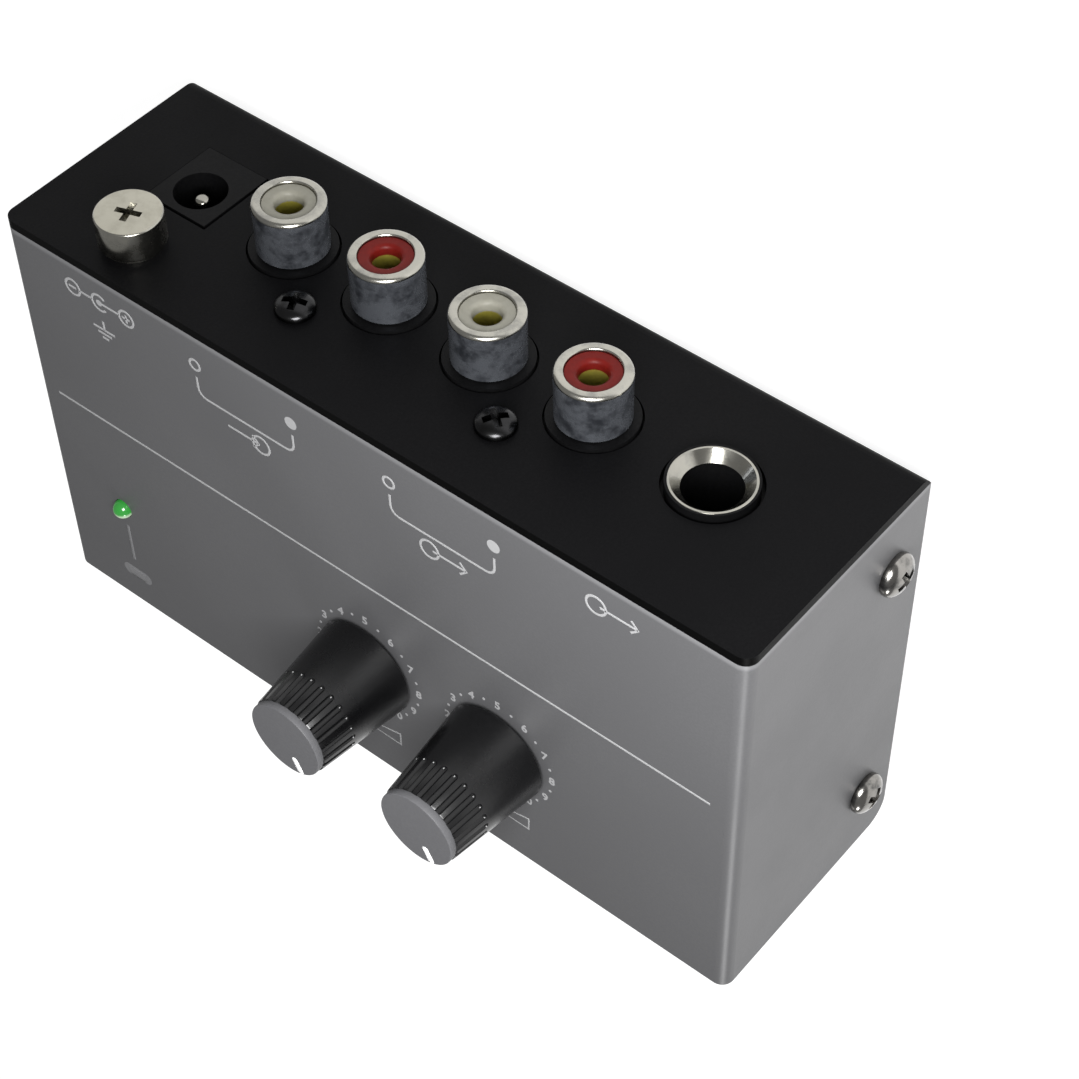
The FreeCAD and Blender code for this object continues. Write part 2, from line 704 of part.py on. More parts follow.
def build_stereo_jack():
    deep = "(%s - thread_clearance - stereo_body_depth / 2)" % PANEL_BACK
    housing = box("stereo_housing", "stereo_body_width", "stereo_body_depth", "stereo_body_height",
                  "stereo_x", deep, BOARD_TOP)
    nose = cylinder("stereo_nose", "stereo_nose_radius", "chassis_sheet + stereo_nose_reach + margin",
                    "stereo_x", "(%s - margin)" % PANEL_BACK, SOCKET_Z, "y")
    front = "(%s + stereo_nose_reach)" % PANEL_FACE
    bore = cylinder("stereo_bore_tool", "stereo_bore", "stereo_bore_depth + 2 * margin", "stereo_x",
                    "(%s - stereo_bore_depth)" % front, SOCKET_Z, "y")
    seat = cylinder("stereo_ring_seat", "stereo_ring_radius + knob_fit", "stereo_ring_depth + 2 * margin",
                    "stereo_x", "(%s - stereo_ring_depth)" % front, SOCKET_Z, "y")
    slots = []
    springs = []
    for name, depth in (("sleeve", "sleeve_spring_depth"), ("tip", "tip_spring_depth")):
        y = "(%s - %s)" % (front, depth)
        slots.append(box("stereo_%s_slot" % name, "spring_width + spring_slot_gap",
                         "spring_length + spring_slot_gap",
                         "stereo_bore + 3 * spring_sheet", "stereo_x", y, SOCKET_Z))
        springs.append(box("stereo_%s_spring" % name, "spring_width", "spring_length", "spring_sheet",
                           "stereo_x", y, "(%s + stereo_bore + spring_sheet)" % SOCKET_Z))
    node("stereo_jack_body", cut("stereo_body", fuse("stereo_body_solid", [housing, nose]),
                                 [bore, seat] + slots))
    ring = cylinder("stereo_ring_blank", "stereo_ring_radius", "stereo_ring_depth", "stereo_x",
                    "(%s - stereo_ring_depth)" % front, SOCKET_Z, "y")
    flare = cone("stereo_ring_cone", "stereo_bore", "stereo_ring_flare", "stereo_ring_depth", "stereo_x",
                 "(%s - stereo_ring_depth)" % front, SOCKET_Z, "y")
    node("stereo_jack_ring", cut("stereo_ring", ring, [flare]))
    node("stereo_jack_springs", group("stereo_spring_set", springs))


def build_power_socket():
    height = "(%s - power_drop)" % SOCKET_Z
    shell = box("power_shell", "power_width", "power_depth", "power_height", "power_x",
                "(%s - power_depth / 2)" % PANEL_FACE, BOARD_TOP)
    bore = cylinder("power_bore_tool", "power_bore", "power_bore_depth + margin", "power_x",
                    "(%s - power_bore_depth)" % PANEL_FACE, height, "y")
    root_start = "(%s - power_depth + power_pin_cover)" % PANEL_FACE
    seat = cylinder("power_pin_seat", "power_root_radius + knob_fit", "power_depth - power_bore_depth",
                    "power_x", root_start, height, "y")
    node("power_socket_body", cut("power_body", shell, [bore, seat]))
    root = cylinder("power_pin_root", "power_root_radius",
                    "power_depth - power_bore_depth - power_pin_cover", "power_x", root_start, height,
                    "y")
    pin = cylinder("power_pin", "power_pin_radius", "power_bore_depth - power_pin_recess", "power_x",
                   "(%s - power_bore_depth)" % PANEL_FACE, height, "y")
    tip = rounded("power_pin_rounded", pin, "power_pin_round", lambda edge: rim_of(pin, edge))
    node("power_socket_pin", fuse("power_pin_solid", [root, tip]))
    legs = [box("power_leg_" + name, "2 * terminal_width", "terminal_sheet", "terminal_length", "power_x",
                y, "(%s - terminal_length)" % BOARD_TOP) for name, y in POWER_LEGS.items()]
    node("power_socket_terminals", group("power_leg_set", legs))


def build_ground_terminal():
    height = "(%s + %s)" % (CASE_FLOOR, GROUND_RISE)
    seat = "(%s + ground_seat)" % PANEL_FACE
    head_start = "(%s + ground_washer_sheet)" % seat
    head = cylinder("ground_head", "ground_head_radius", "ground_head_height", "ground_x", head_start,
                    height, "y")
    soft = rounded("ground_head_rounded", head, "ground_head_edge", lambda edge: (
        edge.Curve.TypeId == "Part::GeomCircle"))
    shank = cylinder("ground_shank", "ground_screw_radius", "ground_screw_length + ground_washer_sheet",
                     "ground_x", "(%s - ground_screw_length)" % seat, height, "y")
    recess = cross_recess("ground", "y", "(%s + ground_head_height)" % head_start, ("ground_x", height))
    node("ground_screw", cut("ground_screw_piece", fuse("ground_screw_solid", [soft, shank]), recess))
    washer = cylinder("ground_washer_blank", "ground_washer_radius", "ground_washer_sheet", "ground_x",
                      seat, height, "y")
    washer_hole = cylinder("ground_washer_hole", "ground_screw_radius + thread_clearance",
                           "ground_washer_sheet + 2 * margin", "ground_x", "(%s - margin)" % seat, height,
                           "y")
    node("ground_washer", cut("ground_washer_piece", washer, [washer_hole]))
    barrel = cylinder("bush_barrel", "bush_radius", "bush_length + chassis_sheet", "ground_x",
                      "(%s - bush_length)" % PANEL_BACK, height, "y")
    flange = cylinder("bush_flange", "bush_flange_radius", "bush_flange_sheet", "ground_x",
                      "(%s - bush_flange_sheet)" % PANEL_BACK, height, "y")
    thread = cylinder("bush_thread", "ground_screw_radius + thread_clearance",
                      "bush_length + chassis_sheet + 2 * margin", "ground_x",
                      "(%s - bush_length - margin)" % PANEL_BACK, height, "y")
    node("ground_bush", cut("ground_bush_piece", fuse("ground_bush_solid", [barrel, flange]), [thread]))
    tag_y = "(%s - bush_flange_sheet - tag_sheet)" % PANEL_BACK
    ring = cylinder("tag_ring", "tag_radius", "tag_sheet", "ground_x", tag_y, height, "y")
    arm = box("tag_arm", "tag_reach", "tag_sheet", "tag_width", "(ground_x + tag_reach / 2)",
              "(%s + tag_sheet / 2)" % tag_y, "(%s - tag_width / 2)" % height)
    leg = box("tag_leg", "tag_sheet", "tag_width",
              "%s - socket_rise + jack_rise + tag_width / 2" % GROUND_RISE,
              "(ground_x + tag_reach)", "(%s + tag_sheet - tag_width / 2)" % tag_y, BOARD_TOP)
    hole = cylinder("tag_hole", "bush_radius + thread_clearance", "tag_sheet + 2 * margin", "ground_x",
                    "(%s - margin)" % tag_y, height, "y")
    node("ground_tag", cut("ground_tag_piece", fuse("ground_tag_solid", [ring, arm, leg]), [hole]))


# Board and what stands on it

def build_board():
    board_rear = "(%s - board_rear_gap)" % PANEL_BACK
    board = box("board_blank", "case_width - 2 * board_side_gap", "%s - %s" % (board_rear, BOARD_FRONT),
                "board_sheet", "0", "((%s + %s) / 2)" % (board_rear, BOARD_FRONT), BOARD_BASE)
    holes = [cylinder("board_hole_%d" % i, "spacer_bore + screw_clearance", "board_sheet + 2 * margin", x,
                      y, "(%s - margin)" % BOARD_BASE) for i, (x, y) in enumerate(SPACER_PLACES)]
    slots = []
    for i, x in enumerate(PHONO_X.values()):
        for j, y in enumerate(TERMINAL_ROWS.values()):
            slots.append(box("board_slot_%d_%d" % (i, j), "terminal_width + terminal_slot_gap",
                             "terminal_sheet + terminal_slot_gap", "board_sheet + 2 * margin", x, y,
                             "(%s - margin)" % BOARD_BASE))
    for name, y in POWER_LEGS.items():
        slots.append(box("power_slot_" + name, "2 * terminal_width + terminal_slot_gap",
                         "terminal_sheet + terminal_slot_gap", "board_sheet + 2 * margin",
                         "power_x", y, "(%s - margin)" % BOARD_BASE))
    for sign in ("-", "+"):
        slots.append(cylinder("lamp_board_hole_" + ("left" if sign == "-" else "right"),
                              "lamp_lead_radius + thread_clearance", "board_sheet + 2 * margin",
                              "(lamp_x %s lamp_lead_pitch / 2)" % sign, "lamp_y",
                              "(%s - margin)" % BOARD_BASE))
    node("main_board", cut("board", board, holes + slots))
    spacers = []
    screws = []
    for i, (x, y) in enumerate(SPACER_PLACES):
        post = cylinder("spacer_post_%d" % i, "spacer_radius",
                        "socket_rise - jack_rise - board_sheet - chassis_sheet", x, y, PLATE_TOP)
        pilot = cylinder("spacer_pilot_%d" % i, "spacer_pilot", "chassis_sheet", x, y, CASE_FLOOR)
        bore = cylinder("spacer_bore_%d" % i, "spacer_bore", "socket_rise", x, y,
                        "(%s - margin)" % CASE_FLOOR)
        spacers.append(cut("spacer_%d" % i, fuse("spacer_solid_%d" % i, [post, pilot]), [bore]))
        screws.append(pan_screw("board_screw_%d" % i, "z", BOARD_TOP, (x, y), "board_head_radius",
                                "board_head_height", "side_head_round", "spacer_bore - thread_clearance",
                                "board_screw_length"))
    node("board_spacers", group("spacer_set", spacers))
    node("board_screws", group("board_screw_set", screws))
    chips = [box("chip_%d" % i, "chip_width", "chip_length", "chip_height", "chip_x",
                 "(chip_y + %d * chip_pitch)" % i, "(%s + chip_lift)" % BOARD_TOP) for i in (0, 1)]
    node("amplifier_chips", group("chip_set", chips))
    cans = [cylinder("can_%d" % i, "can_radius", "can_height", "can_x",
                     "(can_y + %d * can_pitch)" % i, BOARD_TOP) for i in range(4)]
    node("electrolytic_capacitors", group("can_set", cans))
    films = [box("film_%d" % i, "film_length", "film_width", "film_height", "film_x",
                 "(film_y + %d * film_pitch)" % i, BOARD_TOP) for i in range(4)]
    node("film_capacitors", group("film_set", films))
    resistor_y = "(%s - thread_clearance - block_depth - resistor_gap - resistor_length)" % PANEL_BACK
    resistors = [cylinder("resistor_%d" % i, "resistor_radius", "resistor_length",
                          "(resistor_x + %d * resistor_pitch)" % i, resistor_y,
                          "(%s + resistor_radius)" % BOARD_TOP, "y") for i in range(8)]
    node("resistors", group("resistor_set", resistors))
    node("voltage_regulator", cylinder("regulator", "regulator_radius", "regulator_height", "regulator_x",
                                       "regulator_y", "(%s + regulator_lift)" % BOARD_TOP))


# Lamp on the labelled face

def build_lamp():
    dome_base = "(%s + lamp_reach)" % CASE_TOP
    flange_z = "(%s - cover_sheet - lamp_flange_sheet - thread_clearance)" % CASE_TOP
    barrel = cylinder("lamp_barrel", "lamp_radius", "lamp_reach + cover_sheet + thread_clearance",
                      "lamp_x", "lamp_y", "(%s - cover_sheet - thread_clearance)" % CASE_TOP)
    flange = cylinder("lamp_flange", "lamp_flange_radius", "lamp_flange_sheet", "lamp_x", "lamp_y",
                      flange_z)
    dome = doc.addObject("Part::Sphere", "lamp_dome")
    bind(dome, "Radius", "lamp_radius")
    place(dome, "lamp_x", "lamp_y", dome_base)
    keep = cylinder("lamp_dome_half", "lamp_radius + margin", "lamp_radius + margin", "lamp_x", "lamp_y",
                    dome_base)
    cap = doc.addObject("Part::Common", "lamp_cap")
    cap.Base = dome
    cap.Tool = keep
    node("power_lamp", fuse("lamp", [flange, barrel, cap]))
    spacer = cylinder("lamp_spacer_blank", "lamp_spacer_radius",
                      "case_height - cover_sheet - lamp_flange_sheet - socket_rise + jack_rise"
                      " - 2 * thread_clearance", "lamp_x", "lamp_y", BOARD_TOP)
    tunnels = []
    leads = []
    for name, sign in (("left", "-"), ("right", "+")):
        x = "(lamp_x %s lamp_lead_pitch / 2)" % sign
        tunnels.append(cylinder("lamp_tunnel_" + name, "lamp_spacer_bore", "case_height", x, "lamp_y",
                                "(%s - margin)" % BOARD_TOP))
        leads.append(cylinder("lamp_lead_" + name, "lamp_lead_radius",
                              "case_height - cover_sheet - lamp_flange_sheet - socket_rise + jack_rise"
                              " - thread_clearance + lamp_lead_tail", x, "lamp_y",
                              "(%s - lamp_lead_tail)" % BOARD_TOP))
    node("lamp_spacer", cut("lamp_spacer_piece", spacer, tunnels))
    node("lamp_leads", group("lamp_lead_set", leads))


# Level and volume controls

def build_pot(name):
    x = KNOB_X[name]
    case = box(name + "_pot_blank", "pot_width", "pot_depth", "pot_height", x, "knob_y", BOARD_TOP)
    hollow = cylinder(name + "_pot_hollow", "pot_hollow", "wiper_sheet + 2 * wiper_gap", x, "knob_y",
                      "(%s + pot_floor)" % BOARD_TOP)
    throat = cylinder(name + "_pot_throat", "shaft_radius + shaft_clearance", "pot_height", x, "knob_y",
                      "(%s + pot_floor + wiper_gap)" % BOARD_TOP)
    node(name + "_pot_body", cut(name + "_pot", case, [hollow, throat]))
    neck = cylinder(name + "_bushing_blank", "bushing_radius", "bushing_length", x, "knob_y",
                    "(%s + pot_height)" % BOARD_TOP)
    neck_bore = cylinder(name + "_bushing_bore", "shaft_radius + shaft_clearance",
                         "bushing_length + 2 * margin", x, "knob_y",
                         "(%s + pot_height - margin)" % BOARD_TOP)
    node(name + "_bushing", cut(name + "_bushing_piece", neck, [neck_bore]))


def build_shaft(name):
    x = KNOB_X[name]
    start = "(%s + pot_floor + wiper_gap)" % BOARD_TOP
    top = "(%s + knob_gap + knob_bore_depth - 2 * knob_fit)" % CASE_TOP
    rod = cylinder(name + "_rod", "shaft_radius", "%s - %s" % (top, start), x, "knob_y", start)
    wiper = cylinder(name + "_wiper", "wiper_radius", "wiper_sheet", x, "knob_y", start)
    flat = box(name + "_flat_tool", "2 * shaft_radius", "2 * shaft_radius", "shaft_flat_length + margin",
               x, "(knob_y + shaft_flat + shaft_radius)", "(%s - shaft_flat_length)" % top)
    node(name + "_shaft", cut(name + "_shaft_piece", fuse(name + "_shaft_solid", [rod, wiper]), [flat]))


def build_knob(name):
    body = new_body(name + "_knob", KNOB_X[name], "knob_y", "%s + knob_gap" % CASE_TOP)
    black_top = "(knob_height - knob_cap_sheet)"
    edge_radius = "(knob_base_radius - %s * %s)" % (KNOB_SLOPE, black_top)
    profile = new_sketch(body, name + "_knob_profile", "XZ_Plane")
    hollow_top = "(knob_base_radius - knob_wall - %s * knob_hollow_depth)" % KNOB_SLOPE
    outline(profile, [("0", "knob_bore_depth"), ("shaft_radius + knob_fit", "knob_bore_depth"),
                      ("shaft_radius + knob_fit", "knob_hub_gap"), ("knob_hub_radius", "knob_hub_gap"),
                      ("knob_hub_radius", "knob_hollow_depth"), (hollow_top, "knob_hollow_depth"),
                      ("knob_base_radius - knob_wall", "0"), ("knob_base_radius", "0"),
                      (edge_radius, black_top), ("knob_cap_stem + knob_fit", black_top),
                      ("knob_cap_stem + knob_fit", "%s - knob_cap_stem_length" % black_top),
                      ("0", "%s - knob_cap_stem_length" % black_top),])
    turned = body.newObject("PartDesign::Revolution", name + "_knob_turned")
    turned.Profile = profile
    turned.ReferenceAxis = (profile, ["V_Axis"])
    turned.Angle = 360
    doc.recompute()
    low = "(%s - flute_height)" % black_top
    high = "(%s + knob_cap_sheet / 2)" % black_top
    rings = []
    for end, height in (("low", low), ("high", high)):
        ring = new_sketch(body, "%s_flute_%s" % (name, end), "XY_Plane", height)
        circle(ring, "knob_base_radius - %s * %s" % (KNOB_SLOPE, height), "0", "flute_radius")
        rings.append(ring)
    flute = body.newObject("PartDesign::SubtractiveLoft", name + "_flute")
    flute.Profile = rings[0]
    flute.Sections = [rings[1]]
    flute.Ruled = True
    doc.recompute()
    ring_of_flutes = body.newObject("PartDesign::PolarPattern", name + "_flutes")
    ring_of_flutes.Originals = [flute]
    ring_of_flutes.Axis = (rings[0], ["N_Axis"])
    ring_of_flutes.Angle = 360
    bind(ring_of_flutes, "Occurrences", "flute_count")
    body.Tip = ring_of_flutes
    doc.recompute()


def build_knob_key(name):
    """A flat key that fills the bore beside the shaft's flat."""
    x = KNOB_X[name]
    base = "(%s + knob_gap + knob_bore_depth - shaft_flat_length + knob_key_gap)" % CASE_TOP
    blank = cylinder(name + "_key_blank", "shaft_radius", "shaft_flat_length - 2 * knob_key_gap", x,
                     "knob_y", base)
    away = box(name + "_key_tool", "4 * shaft_radius", "4 * shaft_radius",
               "shaft_flat_length + 2 * margin", x, "(knob_y + shaft_flat + knob_fit - 2 * shaft_radius)",
               "(%s - margin)" % base)
    node(name + "_knob_key", cut(name + "_key", blank, [away]))


def build_knob_cap(name):
    x = KNOB_X[name]
    base = "(%s + knob_gap + knob_height - knob_cap_sheet)" % CASE_TOP
    disc = cone(name + "_cap_disc", "knob_top_radius + %s * knob_cap_sheet" % KNOB_SLOPE,
                "knob_top_radius - knob_cap_bevel", "knob_cap_sheet", x, "knob_y", base)
    stem = cylinder(name + "_cap_stem", "knob_cap_stem", "knob_cap_stem_length - knob_fit", x, "knob_y",
                    "(%s - knob_cap_stem_length + knob_fit)" % base)
    top = "(%s + knob_gap + knob_height)" % CASE_TOP
    angle = "pointer_angle * 1deg"
    slot = pointer_bar(name + "_pointer_slot", name, "pointer_width + 2 * knob_fit",
                       "pointer_inner - knob_fit", "knob_top_radius + margin", "pointer_sheet + margin",
                       "(%s - pointer_sheet)" % top, angle)
    node(name + "_knob_cap", cut(name + "_cap", fuse(name + "_cap_solid", [disc, stem]), [slot]))
    node(name + "_pointer", pointer_bar(name + "_pointer_bar", name, "pointer_width", "pointer_inner",
                                        "knob_top_radius - knob_cap_bevel", "pointer_sheet",
                                        "(%s - pointer_sheet)" % top, angle))


def pointer_bar(piece_name, knob, width, inner, outer, high, z, angle):
    """A bar that lies along a radius of a knob's top, turned to the pointer's angle."""
    bar = doc.addObject("Part::Box", piece_name)
    bind(bar, "Length", "%s - (%s)" % (outer, inner))
    bind(bar, "Width", width)
    bind(bar, "Height", high)
    turn = number("pointer_angle")
    bar.Placement = FreeCAD.Placement(FreeCAD.Vector(), FreeCAD.Rotation(FreeCAD.Vector(0, 0, 1), turn))
    x = KNOB_X[knob]
    move_to(bar, "%s + (%s) * cos(%s) + (%s) / 2 * sin(%s)" % (x, inner, angle, width, angle),
            "knob_y + (%s) * sin(%s) - (%s) / 2 * cos(%s)" % (inner, angle, width, angle), z)
    return bar


build_cover()
build_chassis()
build_screws()
build_phono_jacks()
build_stereo_jack()
build_power_socket()
build_ground_terminal()
build_board()
build_lamp()
for control in KNOB_X:
    build_pot(control)
    build_shaft(control)
    build_knob(control)
    build_knob_key(control)
    build_knob_cap(control)
doc.recompute()

faults = []
for item in doc.Objects:
    if "Invalid" in item.State or "Error" in item.State:
        faults.append(item.Label + " failed")
for item in nodes:
    if item.Shape.isNull() or not item.Shape.isValid() or not item.Shape.Solids:
        faults.append(item.Label + " has no valid shape")
if faults:
    print("\n".join(faults))
    sys.exit(1)

for item in nodes:
    item.Shape.exportStep("parts/%s.step" % item.Label)
print(len(nodes), "nodes")
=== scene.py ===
# %% [markdown]
# A small phono preamp, dressed for a product picture.
#
# The construction is already finished and packed: every sheet, screw, socket and knob has its real size
# and its place. This lesson loads that model as a frame, gives each piece a finish built from nodes, and
# remodels the pieces whose fine shape matters to the eye, such as the fluted knobs and the plated sockets.
# Everything is in metres, with the part lying on its feet, its labelled face up and its sockets to the rear.

# %% Load the frame
import json
import math
import bpy
from mathutils import Euler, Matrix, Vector


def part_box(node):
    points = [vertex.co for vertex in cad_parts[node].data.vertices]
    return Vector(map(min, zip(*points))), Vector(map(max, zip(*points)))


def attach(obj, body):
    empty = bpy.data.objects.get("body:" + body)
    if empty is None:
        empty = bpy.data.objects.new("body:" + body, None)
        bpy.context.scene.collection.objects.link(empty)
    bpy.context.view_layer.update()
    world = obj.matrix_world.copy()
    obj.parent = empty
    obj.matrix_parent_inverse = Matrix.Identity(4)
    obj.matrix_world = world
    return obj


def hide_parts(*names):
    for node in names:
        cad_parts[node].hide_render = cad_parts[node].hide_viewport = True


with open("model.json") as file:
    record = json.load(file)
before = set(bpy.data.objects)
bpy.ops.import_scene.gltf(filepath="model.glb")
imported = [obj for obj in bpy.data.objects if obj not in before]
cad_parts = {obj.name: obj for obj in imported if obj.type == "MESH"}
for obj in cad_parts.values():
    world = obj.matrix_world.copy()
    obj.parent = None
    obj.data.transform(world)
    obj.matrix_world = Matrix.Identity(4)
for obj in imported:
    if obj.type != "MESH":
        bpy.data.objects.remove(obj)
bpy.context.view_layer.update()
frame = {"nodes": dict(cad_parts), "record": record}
nodes = frame["nodes"]
MM = 0.001

# %% [markdown]
# Most places can be read from the frame, so that a new piece lands where the construction puts it. A box's
# middle gives the centre of a screw or a socket, and its top gives the face that printing lies on.


# %% Read places from the frame
def middle(node):
    low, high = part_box(node)
    return (Vector(low) + Vector(high)) / 2


def top_of(node):
    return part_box(node)[1][2]


def rear_of(node):
    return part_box(node)[1][1]


FACE = top_of("top_cover")
PANEL = rear_of("chassis")
CASE_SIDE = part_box("top_cover")[1][0]
CASE_MIDDLE_Y = (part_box("top_cover")[0][1] + PANEL) / 2
JACKS = ("input_left", "input_right", "output_left", "output_right")
KNOBS = ("level", "volume")
print("labelled face at", round(FACE / MM, 2), "mm, rear panel at", round(PANEL / MM, 2), "mm")

# %% [markdown]
# The camera is set by two angles round the part, a roll, a distance and a lens, as a photographer would
# write them down. The roll is large, because the picture shows the part stood up on its front edge.

# %% Camera
CAMERA_AZIMUTH = 60.325
CAMERA_ELEVATION = 30.492
CAMERA_ROLL = -132.912
CAMERA_PLACE = (0.132442, 0.212308, 0.16009)
FIELD_OF_VIEW = 24.067

camera_data = bpy.data.cameras.new("camera")
camera_data.angle = math.radians(FIELD_OF_VIEW)
camera_data.clip_start = 0.01
camera = bpy.data.objects.new("camera", camera_data)
bpy.context.scene.collection.objects.link(camera)
level_view = Euler((math.radians(90 - CAMERA_ELEVATION), 0, math.radians(CAMERA_AZIMUTH + 90)), "XYZ")
roll = Euler((0, 0, math.radians(CAMERA_ROLL)), "XYZ")
camera.rotation_euler = (level_view.to_matrix() @ roll.to_matrix()).to_euler()
camera.location = CAMERA_PLACE
bpy.context.scene.camera = camera
print("camera at", [round(value, 4) for value in camera.location])

# %% [markdown]
# The floor is a plain pale sheet, far larger than the view, so that no edge of it shows.

# %% Floor
FLOOR_SIZE = 8.0
bpy.ops.object.select_all(action="DESELECT")
bpy.ops.mesh.primitive_plane_add(size=FLOOR_SIZE, location=(0, 0, 0))
floor = bpy.context.object
floor.name = "floor"

# %% [markdown]
# Soft light comes from two area lamps. A small one stands close by, above and beyond the rear right corner,
# so that the labelled face grows brighter towards that corner. A larger one, farther off to the front
# right, puts the highlight on the cover's bend and on the flutes. The sky is dim, and the floor gives off
# some light of its own, as a lit white table does, so its white keeps its even tone and lights the part
# from below.

# %% Light
PART_MIDDLE = Vector((0, 0, 0.02))


def area_lamp(name, place, width, height, power):
    data = bpy.data.lights.new(name, "AREA")
    data.shape = "RECTANGLE"
    data.size = width
    data.size_y = height
    data.energy = power
    lamp = bpy.data.objects.new(name, data)
    bpy.context.scene.collection.objects.link(lamp)
    lamp.location = place
    direction = PART_MIDDLE - Vector(place)
    lamp.rotation_euler = direction.to_track_quat("-Z", "Y").to_euler()


area_lamp("key_lamp", place=(0.085, 0.09, 0.125), width=0.08, height=0.08, power=0.5)
area_lamp("side_lamp", place=(0.26, -0.42, 0.24), width=0.16, height=0.12, power=0.7)

SKY_STRENGTH = 0.34
world = bpy.data.worlds.new("sky")
world.use_nodes = True
sky = world.node_tree.nodes["Background"]
sky.inputs["Color"].default_value = (1, 1, 1, 1)
sky.inputs["Strength"].default_value = SKY_STRENGTH
bpy.context.scene.world = world
bpy.context.scene.view_settings.view_transform = "Standard"

# %% [markdown]
# Finishes share a few effects. Each effect is a node group with named inputs and outputs, built once:
# a fine grain for paint and moulded plastic, soft smudges that change the roughness, and the streaks and
# specks that plating picks up. A material then places a group with its own values.


# %% Build a node group
def new_group(name, inputs, outputs):
    """A shader node group whose sockets are given as (name, kind, value) and (name, kind)."""
    group = bpy.data.node_groups.new(name, "ShaderNodeTree")
    for label, kind, value in inputs:
        socket = group.interface.new_socket(name=label, in_out="INPUT", socket_type=kind)
        socket.default_value = value
    for label, kind in outputs:
        group.interface.new_socket(name=label, in_out="OUTPUT", socket_type=kind)
    source = group.nodes.new("NodeGroupInput")
    result = group.nodes.new("NodeGroupOutput")
    return group, source.outputs, result.inputs


def connect(tree, output, target):
    tree.links.new(output, target)


def noise_of(tree, vector, scale, detail=3.0, roughness=0.5):
    """A noise texture whose scale is a socket or a number."""
    noise = tree.nodes.new("ShaderNodeTexNoise")
    noise.inputs["Detail"].default_value = detail
    noise.inputs["Roughness"].default_value = roughness
    connect(tree, vector, noise.inputs["Vector"])
    if isinstance(scale, (int, float)):
        noise.inputs["Scale"].default_value = scale
    else:
        connect(tree, scale, noise.inputs["Scale"])
    return noise.outputs["Fac"]


def spread(tree, value, low, high):
    """Map 0..1 to the range between two sockets."""
    remap = tree.nodes.new("ShaderNodeMapRange")
    connect(tree, value, remap.inputs["Value"])
    connect(tree, low, remap.inputs["To Min"])
    connect(tree, high, remap.inputs["To Max"])
    return remap.outputs["Result"]


def window(tree, value, start, end):
    """Turn the stretch of a value between start and end into 0..1, softly."""
    remap = tree.nodes.new("ShaderNodeMapRange")
    remap.interpolation_type = "SMOOTHSTEP"
    connect(tree, value, remap.inputs["Value"])
    remap.inputs["From Min"].default_value = start
    remap.inputs["From Max"].default_value = end
    return remap.outputs["Result"]


MIX_FIRST = 6
MIX_SECOND = 7
MIX_RESULT = 2


def mixed(tree, share, first, second):
    """Mix two colours, each a socket or an (r, g, b). The node's colour sockets are found by number."""
    mix = tree.nodes.new("ShaderNodeMix")
    mix.data_type = "RGBA"
    connect(tree, share, mix.inputs["Factor"])
    for number, colour in ((MIX_FIRST, first), (MIX_SECOND, second)):
        if isinstance(colour, tuple):
            mix.inputs[number].default_value = (*colour, 1)
        else:
            connect(tree, colour, mix.inputs[number])
    return mix.outputs[MIX_RESULT]


# %% Grain of paint and moulded plastic
CLOUD_SCALE = 35.0


def build_grain():
    group, given, result = new_group(
        "fine_grain",
        [("Vector", "NodeSocketVector", (0, 0, 0)), ("Scale", "NodeSocketFloat", 2500.0),
         ("Base", "NodeSocketColor", (0.1, 0.1, 0.1, 1)),
         ("Light", "NodeSocketColor", (0.12, 0.12, 0.12, 1))],
        [("Color", "NodeSocketColor"), ("Height", "NodeSocketFloat")])
    bumps = noise_of(group, given["Vector"], given["Scale"], detail=2.0)
    clouds = noise_of(group, given["Vector"], CLOUD_SCALE, detail=4.0)
    both = group.nodes.new("ShaderNodeMath")
    both.operation = "MULTIPLY"
    connect(group, bumps, both.inputs[0])
    connect(group, clouds, both.inputs[1])
    pale = window(group, both.outputs[0], start=0.12, end=0.42)
    connect(group, mixed(group, pale, given["Base"], given["Light"]), result["Color"])
    connect(group, bumps, result["Height"])
    return group


fine_grain = build_grain()


# %% Smudges that change how sharply a surface reflects
def build_smudges():
    group, given, result = new_group(
        "smudges",
        [("Vector", "NodeSocketVector", (0, 0, 0)), ("Scale", "NodeSocketFloat", 90.0),
         ("Clean", "NodeSocketFloat", 0.3), ("Dull", "NodeSocketFloat", 0.45)],
        [("Roughness", "NodeSocketFloat")])
    patches = noise_of(group, given["Vector"], given["Scale"], detail=5.0, roughness=0.6)
    smudge = window(group, patches, start=0.35, end=0.7)
    connect(group, spread(group, smudge, given["Clean"], given["Dull"]), result["Roughness"])
    return group


smudges = build_smudges()

# %% Streaks and specks of plated metal
STREAK_SCALE = 420.0
SPECK_SCALE = 2600.0


def build_plating():
    group, given, result = new_group(
        "plating",
        [("Vector", "NodeSocketVector", (0, 0, 0)), ("Bright", "NodeSocketColor", (0.8, 0.78, 0.74, 1)),
         ("Tarnish", "NodeSocketColor", (0.5, 0.5, 0.5, 1)), ("Clean", "NodeSocketFloat", 0.12),
         ("Dull", "NodeSocketFloat", 0.35)],
        [("Color", "NodeSocketColor"), ("Roughness", "NodeSocketFloat"), ("Height", "NodeSocketFloat")])
    streaks = noise_of(group, given["Vector"], STREAK_SCALE, detail=6.0, roughness=0.65)
    specks = noise_of(group, given["Vector"], SPECK_SCALE, detail=3.0, roughness=0.6)
    worn = window(group, streaks, start=0.42, end=0.68)
    connect(group, mixed(group, worn, given["Bright"], given["Tarnish"]), result["Color"])
    connect(group, spread(group, worn, given["Clean"], given["Dull"]), result["Roughness"])
    connect(group, specks, result["Height"])
    return group


plating = build_plating()
print("effects:", [group.name for group in (fine_grain, smudges, plating)])

